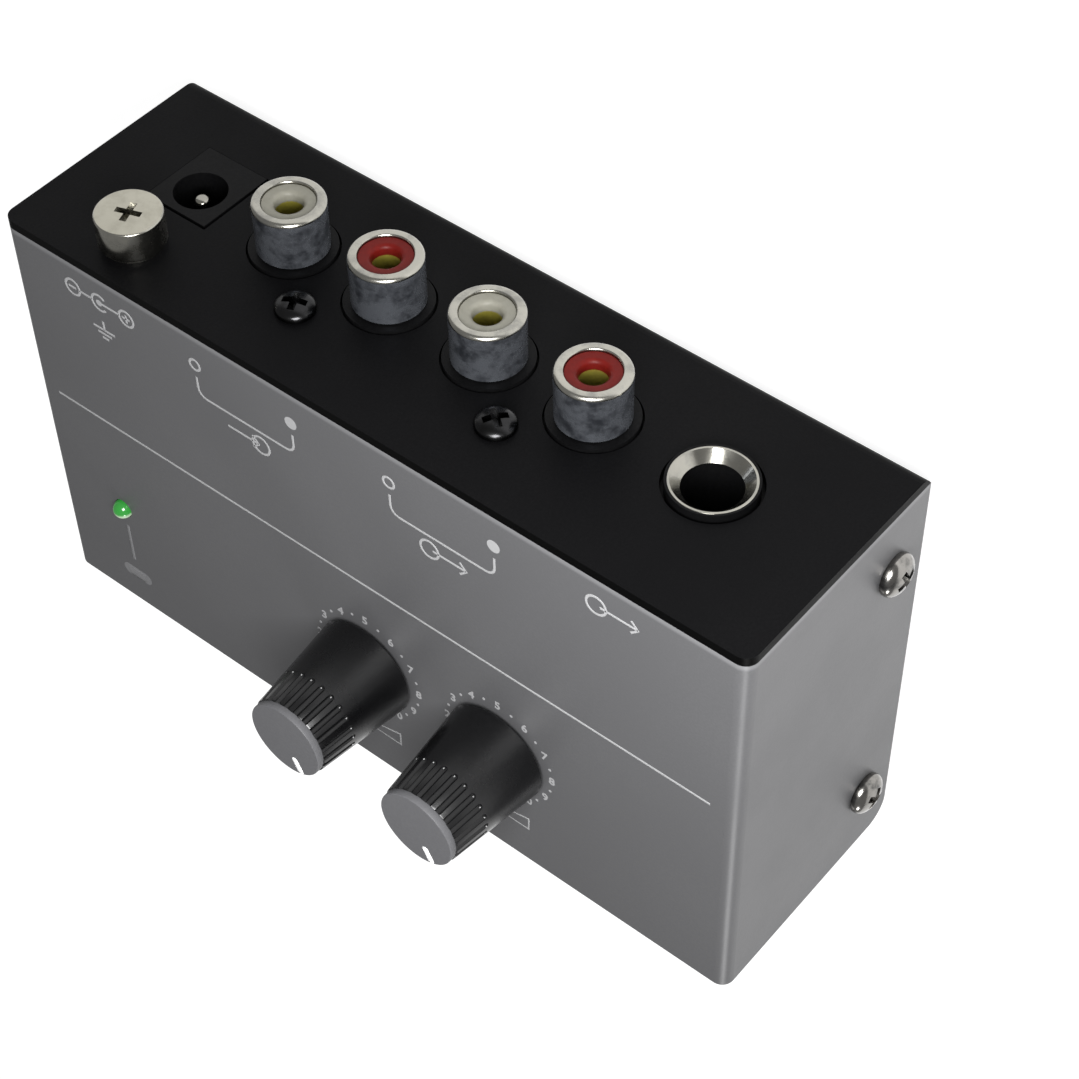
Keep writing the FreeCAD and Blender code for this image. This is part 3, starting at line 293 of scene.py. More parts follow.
# %% [markdown]
# A material places the groups on the piece's own coordinates. Every value that is the same all over, such
# as metal or not, stays on the shader's own socket, and only what changes over the surface is linked.


# %% Make materials
COAT_ROUGHNESS = 0.1
GRAIN_HEIGHT = 0.05 * MM
SPECK_HEIGHT = 0.02 * MM


def new_material(name, metallic=0.0, specular=0.5, coat=0.0):
    """A material with its tree, its shader and its object coordinates."""
    material = bpy.data.materials.new(name)
    material.use_nodes = True
    tree = material.node_tree
    shader = tree.nodes["Principled BSDF"]
    shader.inputs["Metallic"].default_value = metallic
    shader.inputs["Specular IOR Level"].default_value = specular
    shader.inputs["Coat Weight"].default_value = coat
    shader.inputs["Coat Roughness"].default_value = COAT_ROUGHNESS
    place = tree.nodes.new("ShaderNodeTexCoord").outputs["Object"]
    return material, tree, shader, place


def placed(tree, group, vector, **values):
    """Place a group in a material, with its own values."""
    box = tree.nodes.new("ShaderNodeGroup")
    box.node_tree = group
    connect(tree, vector, box.inputs["Vector"])
    for name, value in values.items():
        socket = box.inputs[name]
        socket.default_value = (*value, 1) if isinstance(value, tuple) else value
    return box.outputs


def bump(tree, shader, height, strength, distance):
    relief = tree.nodes.new("ShaderNodeBump")
    relief.inputs["Strength"].default_value = strength
    relief.inputs["Distance"].default_value = distance
    connect(tree, height, relief.inputs["Height"])
    connect(tree, relief.outputs["Normal"], shader.inputs["Normal"])


def smudged(tree, shader, place, clean, dull):
    """Let soft smudges change the roughness between two values."""
    rough = placed(tree, smudges, place, Clean=clean, Dull=dull)
    connect(tree, rough["Roughness"], shader.inputs["Roughness"])


def along_y(tree, place):
    """The Y part of a piece's own coordinates."""
    parts = tree.nodes.new("ShaderNodeSeparateXYZ")
    connect(tree, place, parts.inputs["Vector"])
    return parts.outputs["Y"]


def coated(name, base, light, scale, clean, dull, relief, specular):
    """Paint, moulded plastic or rubber: a fine grain with soft smudges."""
    material, tree, shader, place = new_material(name, specular=specular)
    grain = placed(tree, fine_grain, place, Scale=scale, Base=base, Light=light)
    connect(tree, grain["Color"], shader.inputs["Base Color"])
    smudged(tree, shader, place, clean, dull)
    bump(tree, shader, grain["Height"], relief, GRAIN_HEIGHT)
    return material


def plated(name, bright, tarnish, clean, dull, relief, metallic):
    """Plated or bare metal with streaks and specks. Fine scratches make a surface less mirror-like."""
    material, tree, shader, place = new_material(name, metallic=metallic)
    metal = placed(tree, plating, place, Bright=bright, Tarnish=tarnish, Clean=clean, Dull=dull)
    connect(tree, metal["Color"], shader.inputs["Base Color"])
    connect(tree, metal["Roughness"], shader.inputs["Roughness"])
    bump(tree, shader, metal["Height"], relief, SPECK_HEIGHT)
    return material


# %% [markdown]
# Two lists hold the values of the plain finishes. A coated one has its two colours, the scale of its grain,
# its roughness where it is clean and where it is dull, its relief and its specular level. A plated one has
# its bright and its tarnished colour, the same two values of roughness, its relief and how metallic it is.

# %% Plain finishes
COATED = (
    ("black_plastic", (0.0024, 0.0024, 0.0026), (0.0036, 0.0036, 0.0038), 2600.0, 0.38, 0.5, 0.3, 0.06),
    ("black_knob", (0.002, 0.002, 0.0023), (0.0034, 0.0034, 0.0037), 1800.0, 0.24, 0.32, 0.1, 0.5),
    ("gray_cap", (0.092, 0.092, 0.097), (0.105, 0.105, 0.11), 3000.0, 0.45, 0.55, 0.2, 0.25),
    ("white_marking", (0.27, 0.27, 0.275), (0.30, 0.30, 0.305), 3000.0, 0.5, 0.65, 0.3, 0.5),
    ("white_pointer", (0.85, 0.85, 0.85), (0.92, 0.92, 0.92), 3000.0, 0.4, 0.55, 0.2, 0.5),
    ("faint_marking", (0.14, 0.14, 0.145), (0.16, 0.16, 0.165), 3000.0, 0.5, 0.65, 0.3, 0.5),
    ("white_insulator", (0.17, 0.165, 0.135), (0.19, 0.185, 0.155), 1500.0, 0.4, 0.5, 0.15, 0.2),
    ("red_insulator", (0.08, 0.004, 0.003), (0.095, 0.005, 0.0035), 1500.0, 0.4, 0.5, 0.15, 0.12),
    ("black_rubber", (0.012, 0.012, 0.012), (0.02, 0.02, 0.02), 1800.0, 0.75, 0.9, 0.5, 0.3),
    ("green_board", (0.01, 0.10, 0.04), (0.02, 0.15, 0.06), 400.0, 0.3, 0.45, 0.3, 0.5),
    ("blue_can", (0.012, 0.02, 0.10), (0.02, 0.03, 0.14), 900.0, 0.25, 0.4, 0.1, 0.5),
    ("film_red", (0.30, 0.03, 0.02), (0.36, 0.05, 0.03), 900.0, 0.25, 0.4, 0.1, 0.5),
    ("resistor_tan", (0.42, 0.30, 0.18), (0.50, 0.37, 0.24), 900.0, 0.4, 0.55, 0.2, 0.5),
)
PLATED = (
    ("black_screw", (0.03, 0.03, 0.031), (0.016, 0.016, 0.016), 0.22, 0.36, 0.15, 1.0),
    ("nickel", (0.36, 0.35, 0.31), (0.25, 0.245, 0.225), 0.2, 0.34, 0.15, 1.0),
    # nickel_barrel is the sleeve's nickel made darker and rougher: the roughness is real wear, the darker
    # colour is painted shade.
    ("nickel_barrel", (0.15, 0.16, 0.18), (0.035, 0.038, 0.045), 0.24, 0.4, 0.3, 0.75),
    ("chrome", (0.32, 0.31, 0.275), (0.26, 0.255, 0.23), 0.14, 0.24, 0.05, 1.0),
    ("screw_nickel", (0.26, 0.25, 0.235), (0.07, 0.07, 0.068), 0.16, 0.3, 0.15, 1.0),
    ("satin_nickel", (0.40, 0.385, 0.325), (0.36, 0.345, 0.29), 0.38, 0.5, 0.1, 1.0),
    ("brass", (0.26, 0.23, 0.035), (0.20, 0.17, 0.028), 0.4, 0.5, 0.15, 0.35),
    ("steel", (0.60, 0.60, 0.60), (0.45, 0.45, 0.45), 0.3, 0.45, 0.15, 1.0),
)
finishes = {values[0]: coated(*values) for values in COATED}
finishes.update({values[0]: plated(*values) for values in PLATED})

# %% [markdown]
# The gray cover gets its own material. A narrow band along the cut edge of the sheet, where the face meets
# the rear panel, is painted lighter: a painted highlight where the edge catches the light. The band is a
# soft window on the piece's own Y coordinate, which stays in place when the part moves. The black panel is
# the
# other way round: off the rear face it is painted much darker, a painted shade on its edges and sides.


# %% Gray paint with a painted highlight on its cut edge
def gray_paint():
    material, tree, shader, place = new_material("gray_paint", specular=0.35)
    grain = placed(tree, fine_grain, place, Scale=3600.0, Base=(0.074, 0.074, 0.077),
                   Light=(0.082, 0.082, 0.085))
    rear_edge = rear_of("top_cover")
    # The lighter band along the rear cut edge is a painted highlight, not a change in the paint.
    edge = window(tree, along_y(tree, place), start=rear_edge - 0.9 * MM, end=rear_edge - 0.3 * MM)
    connect(tree, mixed(tree, edge, grain["Color"], (0.135, 0.135, 0.14)), shader.inputs["Base Color"])
    smudged(tree, shader, place, clean=0.41, dull=0.45)
    bump(tree, shader, grain["Height"], strength=0.3, distance=0.04 * MM)
    return material


# %% Black paint with painted shade off the rear face
def black_paint():
    material, tree, shader, place = new_material("black_paint", specular=0.04)
    grain = placed(tree, fine_grain, place, Scale=3200.0, Base=(0.0024, 0.0024, 0.0027),
                   Light=(0.0036, 0.0036, 0.0039))
    # Off the rear face the colour is a painted shade, much darker than the paint itself, for the shaded
    # edges and sides.
    rear_face_unshaded = window(tree, along_y(tree, place), start=PANEL - 0.06 * MM, end=PANEL - 0.01 * MM)
    connect(tree, mixed(tree, rear_face_unshaded, (0.0004, 0.0004, 0.0004), grain["Color"]),
            shader.inputs["Base Color"])
    smudged(tree, shader, place, clean=0.44, dull=0.52)
    bump(tree, shader, grain["Height"], strength=0.25, distance=GRAIN_HEIGHT)
    return material


# %% Lit lamp lens and pale floor
LAMP_GLOW = 0.35
FLOOR_GLOW = 0.9
FLOOR_ROUGHNESS = 0.7


def green_lamp():
    """The lens glows green towards the rear, and a pale painted highlight lies towards the front."""
    material, tree, shader, place = new_material("green_lamp", coat=0.3)
    centre = middle("power_lamp")
    # The pale colour towards the front is a painted highlight, in both the glow and the base colour.
    front = window(tree, along_y(tree, place), start=centre.y + 0.15 * MM, end=centre.y - 0.45 * MM)
    glow_and_painted_highlight = mixed(tree, front, (0.02, 0.32, 0.03), (0.42, 0.56, 0.36))
    connect(tree, glow_and_painted_highlight, shader.inputs["Emission Color"])
    connect(tree, mixed(tree, front, (0.02, 0.16, 0.025), (0.36, 0.46, 0.33)), shader.inputs["Base Color"])
    smudged(tree, shader, place, clean=0.15, dull=0.3)
    shader.inputs["Emission Strength"].default_value = LAMP_GLOW
    return material


def pale_floor():
    material, tree, shader, place = new_material("pale_floor", specular=0.2)
    grain = placed(tree, fine_grain, place, Scale=200.0, Base=(0.32, 0.32, 0.32), Light=(0.34, 0.34, 0.34))
    connect(tree, grain["Color"], shader.inputs["Base Color"])
    shader.inputs["Roughness"].default_value = FLOOR_ROUGHNESS
    shader.inputs["Emission Color"].default_value = (1, 1, 1, 1)
    shader.inputs["Emission Strength"].default_value = FLOOR_GLOW
    return material


finishes["gray_paint"] = gray_paint()
finishes["black_paint"] = black_paint()
finishes["green_lamp"] = green_lamp()
floor.data.materials.append(pale_floor())
print("finishes:", len(finishes))

# %% [markdown]
# A CAD piece whose shape is right keeps its mesh and only gets a finish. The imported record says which
# material slot each piece takes, so one loop dresses them all. The few that differ are named after it.

# %% Dress the pieces from the frame
for subpart in frame["record"]["subparts"]:
    piece = nodes[subpart["node"]]
    for material_slot in piece.material_slots:
        material_slot.material = finishes[subpart["material_slot"]]

# %% [markdown]
# Most new pieces are turned on a lathe in real life: knobs, screws, jack barrels. The lathe is copied with
# a ring of points that is extruded and resized from one height to the next, which keeps clean rings of
# faces and gives exact radii. The Screw modifier could do the same, but it hides the steps.


# %% A lathe made from extrusions
def turned(name, profile, sides=96):
    """Turn (radius, height) points round Z. A radius of 0 closes the piece in a pole."""
    bpy.ops.object.select_all(action="DESELECT")
    run = [point for point in profile if point[0] > 0]
    radius, height = run[0]
    bpy.ops.mesh.primitive_circle_add(vertices=sides, radius=radius, location=(0, 0, 0))
    piece = bpy.context.object
    piece.name = name
    bpy.ops.object.mode_set(mode="EDIT")
    bpy.ops.mesh.select_mode(type="VERT")
    bpy.ops.mesh.select_all(action="SELECT")
    bpy.ops.transform.translate(value=(0, 0, height))
    for next_radius, next_height in run[1:]:
        extrude_ring(next_height - height, next_radius / radius)
        radius, height = next_radius, next_height
    if profile[-1][0] == 0:
        extrude_ring(profile[-1][1] - height, 0)
    if profile[0][0] == 0:
        bpy.ops.mesh.remove_doubles(threshold=1e-7)
        bpy.ops.mesh.select_all(action="DESELECT")
        bpy.ops.mesh.select_non_manifold()
        extrude_ring(profile[0][1] - run[0][1], 0)
    bpy.ops.mesh.select_all(action="SELECT")
    bpy.ops.mesh.remove_doubles(threshold=1e-7)
    bpy.ops.mesh.normals_make_consistent(inside=False)
    bpy.ops.object.mode_set(mode="OBJECT")
    return piece


def extrude_ring(rise, scale):
    bpy.ops.mesh.extrude_region_move(TRANSFORM_OT_translate={"value": (0, 0, rise)})
    bpy.ops.transform.resize(value=(scale, scale, 1), center_override=(0, 0, 0))


def only(piece):
    """Make one piece the selected and active one."""
    bpy.ops.object.select_all(action="DESELECT")
    piece.select_set(True)
    bpy.context.view_layer.objects.active = piece


def smooth(piece, angle=35):
    only(piece)
    bpy.ops.object.shade_smooth_by_angle(angle=math.radians(angle))


def soften(piece, width):
    """Round the edges that are sharper than thirty degrees."""
    only(piece)
    bevel = piece.modifiers.new("soft_edges", "BEVEL")
    bevel.width = width
    bevel.segments = 2
    bevel.limit_method = "ANGLE"
    bevel.angle_limit = math.radians(30)
    bpy.ops.object.modifier_apply(modifier=bevel.name)


def carve(piece, tool):
    """Cut a tool out of a piece, and delete the tool."""
    only(piece)
    hole = piece.modifiers.new("carved", "BOOLEAN")
    hole.operation = "DIFFERENCE"
    hole.solver = "EXACT"
    hole.use_self = True
    hole.object = tool
    bpy.ops.object.modifier_apply(modifier=hole.name)
    bpy.data.objects.remove(tool)


def joined(pieces, name):
    only(pieces[0])
    for piece in pieces:
        piece.select_set(True)
    if len(pieces) > 1:
        bpy.ops.object.join()
    pieces[0].name = name
    return pieces[0]


def copied(piece):
    only(piece)
    bpy.ops.object.duplicate()
    return bpy.context.object


TURNS = {
    "up": (0, 0, 0),
    "rear": (math.radians(-90), 0, 0),
    "right": (0, math.radians(90), 0),
    "left": (0, math.radians(-90), 0),
}


def settle(piece, place, facing="up", spin=0.0):
    """Turn a piece that was made along Z to face a side, move it to its place, and apply both."""
    only(piece)
    turn = Euler(TURNS[facing]).to_matrix() @ Euler((0, 0, math.radians(spin))).to_matrix()
    piece.rotation_euler = turn.to_euler()
    piece.location = place
    bpy.ops.object.transform_apply(location=True, rotation=True, scale=True)
    return piece


def finished(piece, body, slot, finish, *replaced):
    """Give a piece its finish and its body, and hide the CAD pieces that it stands for. The slot is not
    used.
    """
    piece.data.name = piece.name
    piece.data.materials.clear()
    piece.data.materials.append(finishes[finish])
    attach(piece, body)
    if replaced:
        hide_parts(*replaced)
    print(piece.name, len(piece.data.polygons), "faces")


# %% [markdown]
# A pan head is a low dome, and its cross is a tapered hole rather than two slots. The dome is turned on an
# elliptical profile, and the cross is cut with a tool of two tapered bars, so that its walls lean inwards
# and catch a thin line of light. Each screw stops at its own angle, as real ones do.

# %% Screws with tapered crosses
DOME_STEPS = 7
BAR_TAPER = (0.45, 0.7)
RIM_SHARE = 0.3
RIM_FOOT = (0.95, 0.4)
FIRST_SPIN = 23
NEXT_SPIN = 31
HEAD_CROSS = {"length": 3.0 * MM, "width": 0.85 * MM, "depth": 1.25 * MM}
COVER_SCREW = {"head_radius": 2.6 * MM, "head_height": 1.9 * MM, "shank_radius": 1.45 * MM,
               "shank_length": 4.6 * MM}
BLOCK_SCREW = {"head_radius": 2.35 * MM, "head_height": 1.5 * MM, "shank_radius": 1.4 * MM,
               "shank_length": 8.5 * MM}


def cross_tool(length, width, depth):
    """Two crossed bars that narrow downwards, with the stated length and width at the origin's height."""
    bars = []
    for spin in (0, 90):
        bpy.ops.object.select_all(action="DESELECT")
        spans = (length * 2 / (1 + BAR_TAPER[0]), width * 2 / (1 + BAR_TAPER[1]), 2 * depth)
        bpy.ops.mesh.primitive_cube_add(size=1, location=(0, 0, 0), scale=spans)
        bar = bpy.context.object
        bpy.ops.object.mode_set(mode="EDIT")
        bpy.ops.mesh.select_mode(type="FACE")
        bpy.ops.mesh.select_all(action="DESELECT")
        bpy.ops.object.mode_set(mode="OBJECT")
        for face in bar.data.polygons:
            face.select = face.normal.z < -0.5
        bpy.ops.object.mode_set(mode="EDIT")
        bpy.ops.transform.resize(value=(*BAR_TAPER, 1), center_override=(0, 0, 0))
        bpy.ops.object.mode_set(mode="OBJECT")
        bars.append(settle(bar, (0, 0, 0), spin=spin))
    return joined(bars, "cross_tool")


def pan_screw(name, spin, head_radius, head_height, shank_radius, shank_length):
    """A screw with its shank down and the underside of its head at height 0."""
    rim = RIM_SHARE * head_height
    angles = [math.radians(90 * step / DOME_STEPS) for step in range(DOME_STEPS)]
    dome = [(head_radius * math.cos(angle), rim + (head_height - rim) * math.sin(angle)) for angle in angles]
    profile = [(0, -shank_length), (shank_radius, -shank_length), (shank_radius, 0),
               (RIM_FOOT[0] * head_radius, 0), (head_radius, RIM_FOOT[1] * rim)] + dome + [(0, head_height)]
    screw = turned(name, profile, sides=64)
    tool = cross_tool(**HEAD_CROSS)
    settle(tool, (0, 0, head_height), spin=spin)
    carve(screw, tool)
    smooth(screw, 30)
    return screw


def screw_set(name, node, places, facing, slot, finish, size):
    """Screws at several places, each with its cross turned its own way, as one set."""
    screws = []
    for index, (place, side) in enumerate(zip(places, facing)):
        screw = pan_screw("%s_%d" % (name, index), FIRST_SPIN + NEXT_SPIN * index, **size)
        screws.append(settle(screw, place, side))
    finished(joined(screws, name), "case", slot, finish, node)


low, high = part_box("cover_screws")
SIDE_SCREW_Z = (low[2] + high[2]) / 2
SIDE_SCREW_Y = (high[1] - low[1]) / 2 - COVER_SCREW["head_radius"]
side_places = [(sign * CASE_SIDE, CASE_MIDDLE_Y + depth * SIDE_SCREW_Y, SIDE_SCREW_Z)
               for sign in (1, -1) for depth in (1, -1)]
screw_set("cover_screw_heads", "cover_screws", side_places, ("right", "right", "left", "left"),
          "nickel", "screw_nickel", COVER_SCREW)
low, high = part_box("jack_block_screws")
block_places = [(x, PANEL, (low[2] + high[2]) / 2)
                for x in (low[0] + BLOCK_SCREW["head_radius"], high[0] - BLOCK_SCREW["head_radius"])]
screw_set("jack_block_screw_heads", "jack_block_screws", block_places, ("rear", "rear"),
          "black_screw", "black_screw", BLOCK_SCREW)

# %% [markdown]
# A phono jack's outer sleeve is drawn from thin metal. Its open end is rolled inwards to a smooth bright
# lip that holds the coloured insulator, and its side is duller, with fine scratches from plugs. The sleeve
# is turned with a round lip. The lip's faces get the bright nickel, and the side a darker copy of the same
# plating: its duller roughness is real, its darker colour is painted shade.


# %% Phono jack sleeves and insulators
LIP_INSIDE = 3.05 * MM
WALL_INSIDE = 3.5 * MM
BRIGHT_DEPTH = 0.62 * MM


def arc(centre, radius, start, end, steps):
    """Points on an arc of a profile, angles in degrees from the outward direction."""
    points = []
    for step in range(steps + 1):
        angle = math.radians(start + (end - start) * step / steps)
        points.append((centre[0] + radius * math.cos(angle), centre[1] + radius * math.sin(angle)))
    return points


def jack_sleeve(name, place, base, tip):
    outer = 4.15 * MM
    stem = 3.95 * MM
    shoulder = 0.35 * MM
    chamfer = 0.15 * MM
    swell = 0.03 * MM
    swell_start = 2.1 * MM
    swell_end = 1.4 * MM
    lip = 0.5 * MM
    lip_spread = 0.04 * MM
    lip_back = 0.55 * MM
    inner_round = 0.22 * MM
    profile = [(WALL_INSIDE, base), (stem, base), (stem, shoulder), (outer - chamfer, shoulder),
               (outer, shoulder + chamfer), (outer, tip - swell_start), (outer + swell, tip - swell_end)]
    profile += arc((outer - lip + lip_spread, tip - lip), lip, 0, 90, 8)
    profile += arc((LIP_INSIDE + inner_round, tip - inner_round), inner_round, 90, 180, 5)
    profile += [(LIP_INSIDE, tip - lip), (WALL_INSIDE, tip - lip_back), (WALL_INSIDE, base)]
    sleeve = turned(name + "_sleeve", profile)
    settle(sleeve, place, "rear")
    # The sleeve's side takes the darker copy of its nickel, a painted shade; the lip keeps the bright
    # nickel.
    finished(sleeve, "case", "nickel", "nickel_barrel", name + "_shell")
    sleeve.data.materials.append(finishes["nickel"])
    lip_start = PANEL + tip - BRIGHT_DEPTH
    for face in sleeve.data.polygons:
        face.material_index = 1 if face.center.y > lip_start else 0
    smooth(sleeve, 40)


def jack_insulator(name, colour, place, base, tip):
    hole = 1.87 * MM
    body = WALL_INSIDE - 0.03 * MM
    neck = LIP_INSIDE - 0.02 * MM
    neck_start = tip - 0.6 * MM
    ring_top = tip - 0.32 * MM
    corner = 0.06 * MM
    dish = 0.03 * MM
    mouth = 1.6 * MM
    mouth_round = 0.6 * MM
    mouth_end = 1.4 * MM
    hole_start = 1.5 * MM
    core = [(hole, base), (body, base), (body, neck_start), (neck, neck_start), (neck, ring_top - corner),
            (neck - corner, ring_top), (mouth + mouth_round, ring_top - dish)]
    core += arc((mouth + mouth_round, ring_top - dish - mouth_round), mouth_round, 100, 170, 6)
    core += [(mouth, ring_top - mouth_end), (hole, ring_top - hole_start), (hole, base)]
    insulator = turned(name + "_insulator_ring", core, sides=64)
    settle(insulator, place, "rear")
    finished(insulator, "case", colour, colour, name + "_insulator")
    smooth(insulator, 40)


def phono_jack(name, colour):
    centre = middle(name + "_shell")
    tip = rear_of(name + "_shell") - PANEL
    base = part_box(name + "_shell")[0][1] - PANEL
    place = (centre.x, PANEL, centre.z)
    jack_sleeve(name, place, base, tip)
    jack_insulator(name, colour, place, base, tip)


for jack in JACKS:
    phono_jack(jack, "white_insulator" if jack.endswith("left") else "red_insulator")

# %% [markdown]
# The stereo jack shows a polished funnel with a thin lip, which guides the plug in. It is turned with a
# straight cone, so that the cone mirrors its surroundings in clean bands. Two sprung leaves lie deeper in,
# one for each contact of the plug. Their places give the side, the depth and the tilt.

# %% Stereo jack's funnel and contact leaves
LEAF = (0.25 * MM, 6.5 * MM, 2.2 * MM)
LEAF_OFFSET = 3.1 * MM
LEAF_DROP = 0.6 * MM
LEAF_PLACES = ((1, 4.2 * MM, -14), (-1, 15.0 * MM, 10))


def stereo_funnel(centre, base, front):
    outer = 4.7 * MM
    bore = 3.3 * MM
    seat = base - 0.2 * MM
    seat_inset = 0.02 * MM
    lip_round = 0.1 * MM
    lip_inside = outer - 0.3 * MM
    lip_break = 0.06 * MM
    cone_end = 0.1 * MM
    profile = [(bore, seat), (outer - seat_inset, seat), (outer, base), (outer, front - lip_round)]
    profile += arc((outer - lip_round, front - lip_round), lip_round, 0, 90, 4)
    profile += [(lip_inside, front), (lip_inside - lip_break, front - lip_break),
                (bore + cone_end, base + cone_end), (bore, base), (bore, seat)]
    funnel = turned("stereo_jack_funnel", profile, sides=128)
    settle(funnel, (centre.x, PANEL, centre.z), "rear")
    finished(funnel, "case", "chrome", "chrome", "stereo_jack_ring")
    smooth(funnel, 30)


def stereo_leaves(centre, front):
    leaves = []
    for side, depth, tilt in LEAF_PLACES:
        bpy.ops.object.select_all(action="DESELECT")
        bpy.ops.mesh.primitive_cube_add(size=1, location=(0, 0, 0), scale=LEAF)
        leaf = bpy.context.object
        leaf.rotation_euler = (0, 0, math.radians(tilt))
        leaf.location = (centre.x + side * LEAF_OFFSET, PANEL + front - depth, centre.z - LEAF_DROP)
        bpy.ops.object.transform_apply(location=True, rotation=True, scale=True)
        soften(leaf, 0.06 * MM)
        leaves.append(leaf)
    finished(joined(leaves, "stereo_jack_leaves"), "case", "steel", "steel", "stereo_jack_springs")


def stereo_jack():
    centre = middle("stereo_jack_ring")
    front = rear_of("stereo_jack_ring") - PANEL
    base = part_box("stereo_jack_ring")[0][1] - PANEL
    stereo_funnel(centre, base, front)
    stereo_leaves(centre, front)


stereo_jack()


# %% [markdown]
# The ground screw is made to be turned by hand: a plain thick head with a polished rim, a satin top and a
# small cross. Its thread shows when it is loosened, so the shank has one groove for each turn of its pitch.
# The head stands a hair off the washer, so that it turns without rubbing through the washer's face.

# %% Ground screw
THREAD_PITCH = 0.7 * MM
THREAD_DEPTH = 0.3 * MM
ROOT_END = 0.05 * MM
CREST_START = 0.35 * MM
CREST_END = 0.42 * MM
SEAT_GAP = 0.015 * MM
FLAT = 0.95


def thread(length, shank):
    """The threaded part of the shank as a profile, from its tip up."""
    root = shank - THREAD_DEPTH
    points = [(0, -length), (root, -length)]
    for turn in range(int(length / THREAD_PITCH)):
        start = -length + turn * THREAD_PITCH
        points += [(root, start + ROOT_END), (shank, start + CREST_START), (shank, start + CREST_END)]
    return points


def ground_screw():
    low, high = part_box("ground_screw")
    centre = middle("ground_screw")
    washer_top = rear_of("ground_washer")
    radius = 3.9 * MM
    shank = 2.0 * MM
    neck = 0.3 * MM
    lower_round = 0.3 * MM
    upper_round = 0.22 * MM
    height = high[1] - washer_top
    profile = thread(washer_top - low[1], shank)
    profile += [(shank, -neck), (shank, SEAT_GAP), (radius - lower_round, SEAT_GAP)]
    profile += arc((radius - lower_round, lower_round + SEAT_GAP), lower_round, -80, 0, 5)
    profile += arc((radius - upper_round, height - upper_round), upper_round, 0, 90, 5)
    profile += [(0, height)]
    screw = turned("ground_thumb_screw", profile)
    tool = cross_tool(length=3.1 * MM, width=0.8 * MM, depth=1.3 * MM)
    settle(tool, (0, 0, height), spin=20)
    carve(screw, tool)
    settle(screw, (centre.x, washer_top, centre.z), "rear")
    finished(screw, "ground_screw_body", "nickel", "nickel", "ground_screw")
    screw.data.materials.append(finishes["satin_nickel"])
    middle_height = washer_top + height / 2
    for face in screw.data.polygons:
        face.material_index = 1 if face.normal.y > FLAT and face.center.y > middle_height else 0
    smooth(screw, 35)


ground_screw()

# %% [markdown]
# A knob is moulded with a smooth skirt and a fluted grip. Each flute ends below in a small round, which
# shows as a bright dot. The knob is turned first, then one round-ended tool is copied round it and cut out.

# %% Fluted knobs
FLUTES = 24
FLUTE_RADIUS = 0.42 * MM
FLUTE_OVERRUN = 1.5 * MM
FLUTE_OFFSET = 0.1 * MM
SKIRT_HEIGHT = 8.2 * MM
KNOB_BASE = 6.6 * MM
KNOB_TOP = 5.1 * MM
CAP_OVERLAP = 0.05 * MM


def flute_tools(slope, top):
    """Round-ended rods that lean with the knob's side, one for each flute."""
    length = top - SKIRT_HEIGHT + FLUTE_OVERRUN
    ball = [(0, -FLUTE_RADIUS)] + arc((0, 0), FLUTE_RADIUS, -72, 0, 4)
    rod = turned("flute_tool", ball + [(FLUTE_RADIUS, length), (0, length)], sides=20)
    start = SKIRT_HEIGHT + FLUTE_RADIUS
    reach = KNOB_BASE - slope * start + FLUTE_OFFSET
    only(rod)
    rod.rotation_euler = (0, -math.atan(slope), 0)
    rod.location = (reach, 0, start)
    bpy.ops.object.transform_apply(location=True, rotation=True, scale=True)
    rods = [rod]
    for index in range(1, FLUTES):
        rods.append(settle(copied(rod), (0, 0, 0), spin=index * 360 / FLUTES))
    return joined(rods, "flute_tools")


def knob_grip(name, place, slope, top):
    """The moulded body: the shaft's hole, the hub round it, the hollow skirt and the fluted side."""
    hole = 3.02 * MM
    hole_top = 10.6 * MM
    hub = 4.3 * MM
    hub_end = 0.8 * MM
    hollow_roof = 4.7 * MM
    hollow_top = 7.0 * MM
    skirt_wall = 1.1 * MM
    edge = 0.16 * MM
    profile = [(0, hole_top), (hole, hole_top), (hole, hub_end), (hub, hub_end), (hub, hollow_top),
               (hollow_roof, hollow_top), (KNOB_BASE - skirt_wall, 0), (KNOB_BASE - edge, 0),
               (KNOB_BASE, edge), (KNOB_BASE - slope * SKIRT_HEIGHT, SKIRT_HEIGHT),
               (KNOB_BASE - slope * (top - edge), top - edge), (KNOB_BASE - slope * top - edge / 2, top),
               (0, top)]
    grip = turned(name + "_knob_grip", profile, sides=192)
    carve(grip, flute_tools(slope, top))
    settle(grip, place)
    finished(grip, name + "_control", "black_knob", "black_knob", name + "_knob")
    smooth(grip, 32)


def knob_disc(name, place, low, top):
    """The thin gray cap, with a small round at its rim and a top that sinks a little to the middle."""
    foot = KNOB_TOP - 0.1 * MM
    side_low = (KNOB_TOP - 0.04 * MM, low + 0.15 * MM)
    side_high = (KNOB_TOP - 0.05 * MM, top - 0.12 * MM)
    rim_centre = (KNOB_TOP - 0.15 * MM, top - 0.1 * MM)
    rim_round = 0.09 * MM
    flat_edge = (KNOB_TOP - 0.24 * MM, top - 0.01 * MM)
    dish = 0.03 * MM
    profile = [(0, low), (foot, low), side_low, side_high]
    profile += arc(rim_centre, rim_round, 0, 90, 4)
    profile += [flat_edge, (0, top - dish)]
    cap = turned(name + "_knob_disc", profile)
    settle(cap, place)
    finished(cap, name + "_control", "gray_cap", "gray_cap", name + "_knob_cap")
    smooth(cap, 35)


def knob(name):
    low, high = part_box(name + "_knob")
    centre = middle(name + "_knob")
    base = low[2]
    height = top_of(name + "_knob_cap") - base
    body_top = high[2] - base
    slope = (KNOB_BASE - KNOB_TOP) / height
    place = (centre.x, centre.y, base)
    knob_grip(name, place, slope, body_top)
    knob_disc(name, place, body_top - CAP_OVERLAP, height)


# %% Pointers
POINTER_ANGLE = -65.0
POINTER_HALF = 0.46 * MM
POINTER_INNER = 2.5 * MM
POINTER_OUTER = 5.03 * MM
POINTER_DEPTH = 0.3 * MM
SLIVER = 0.001 * MM


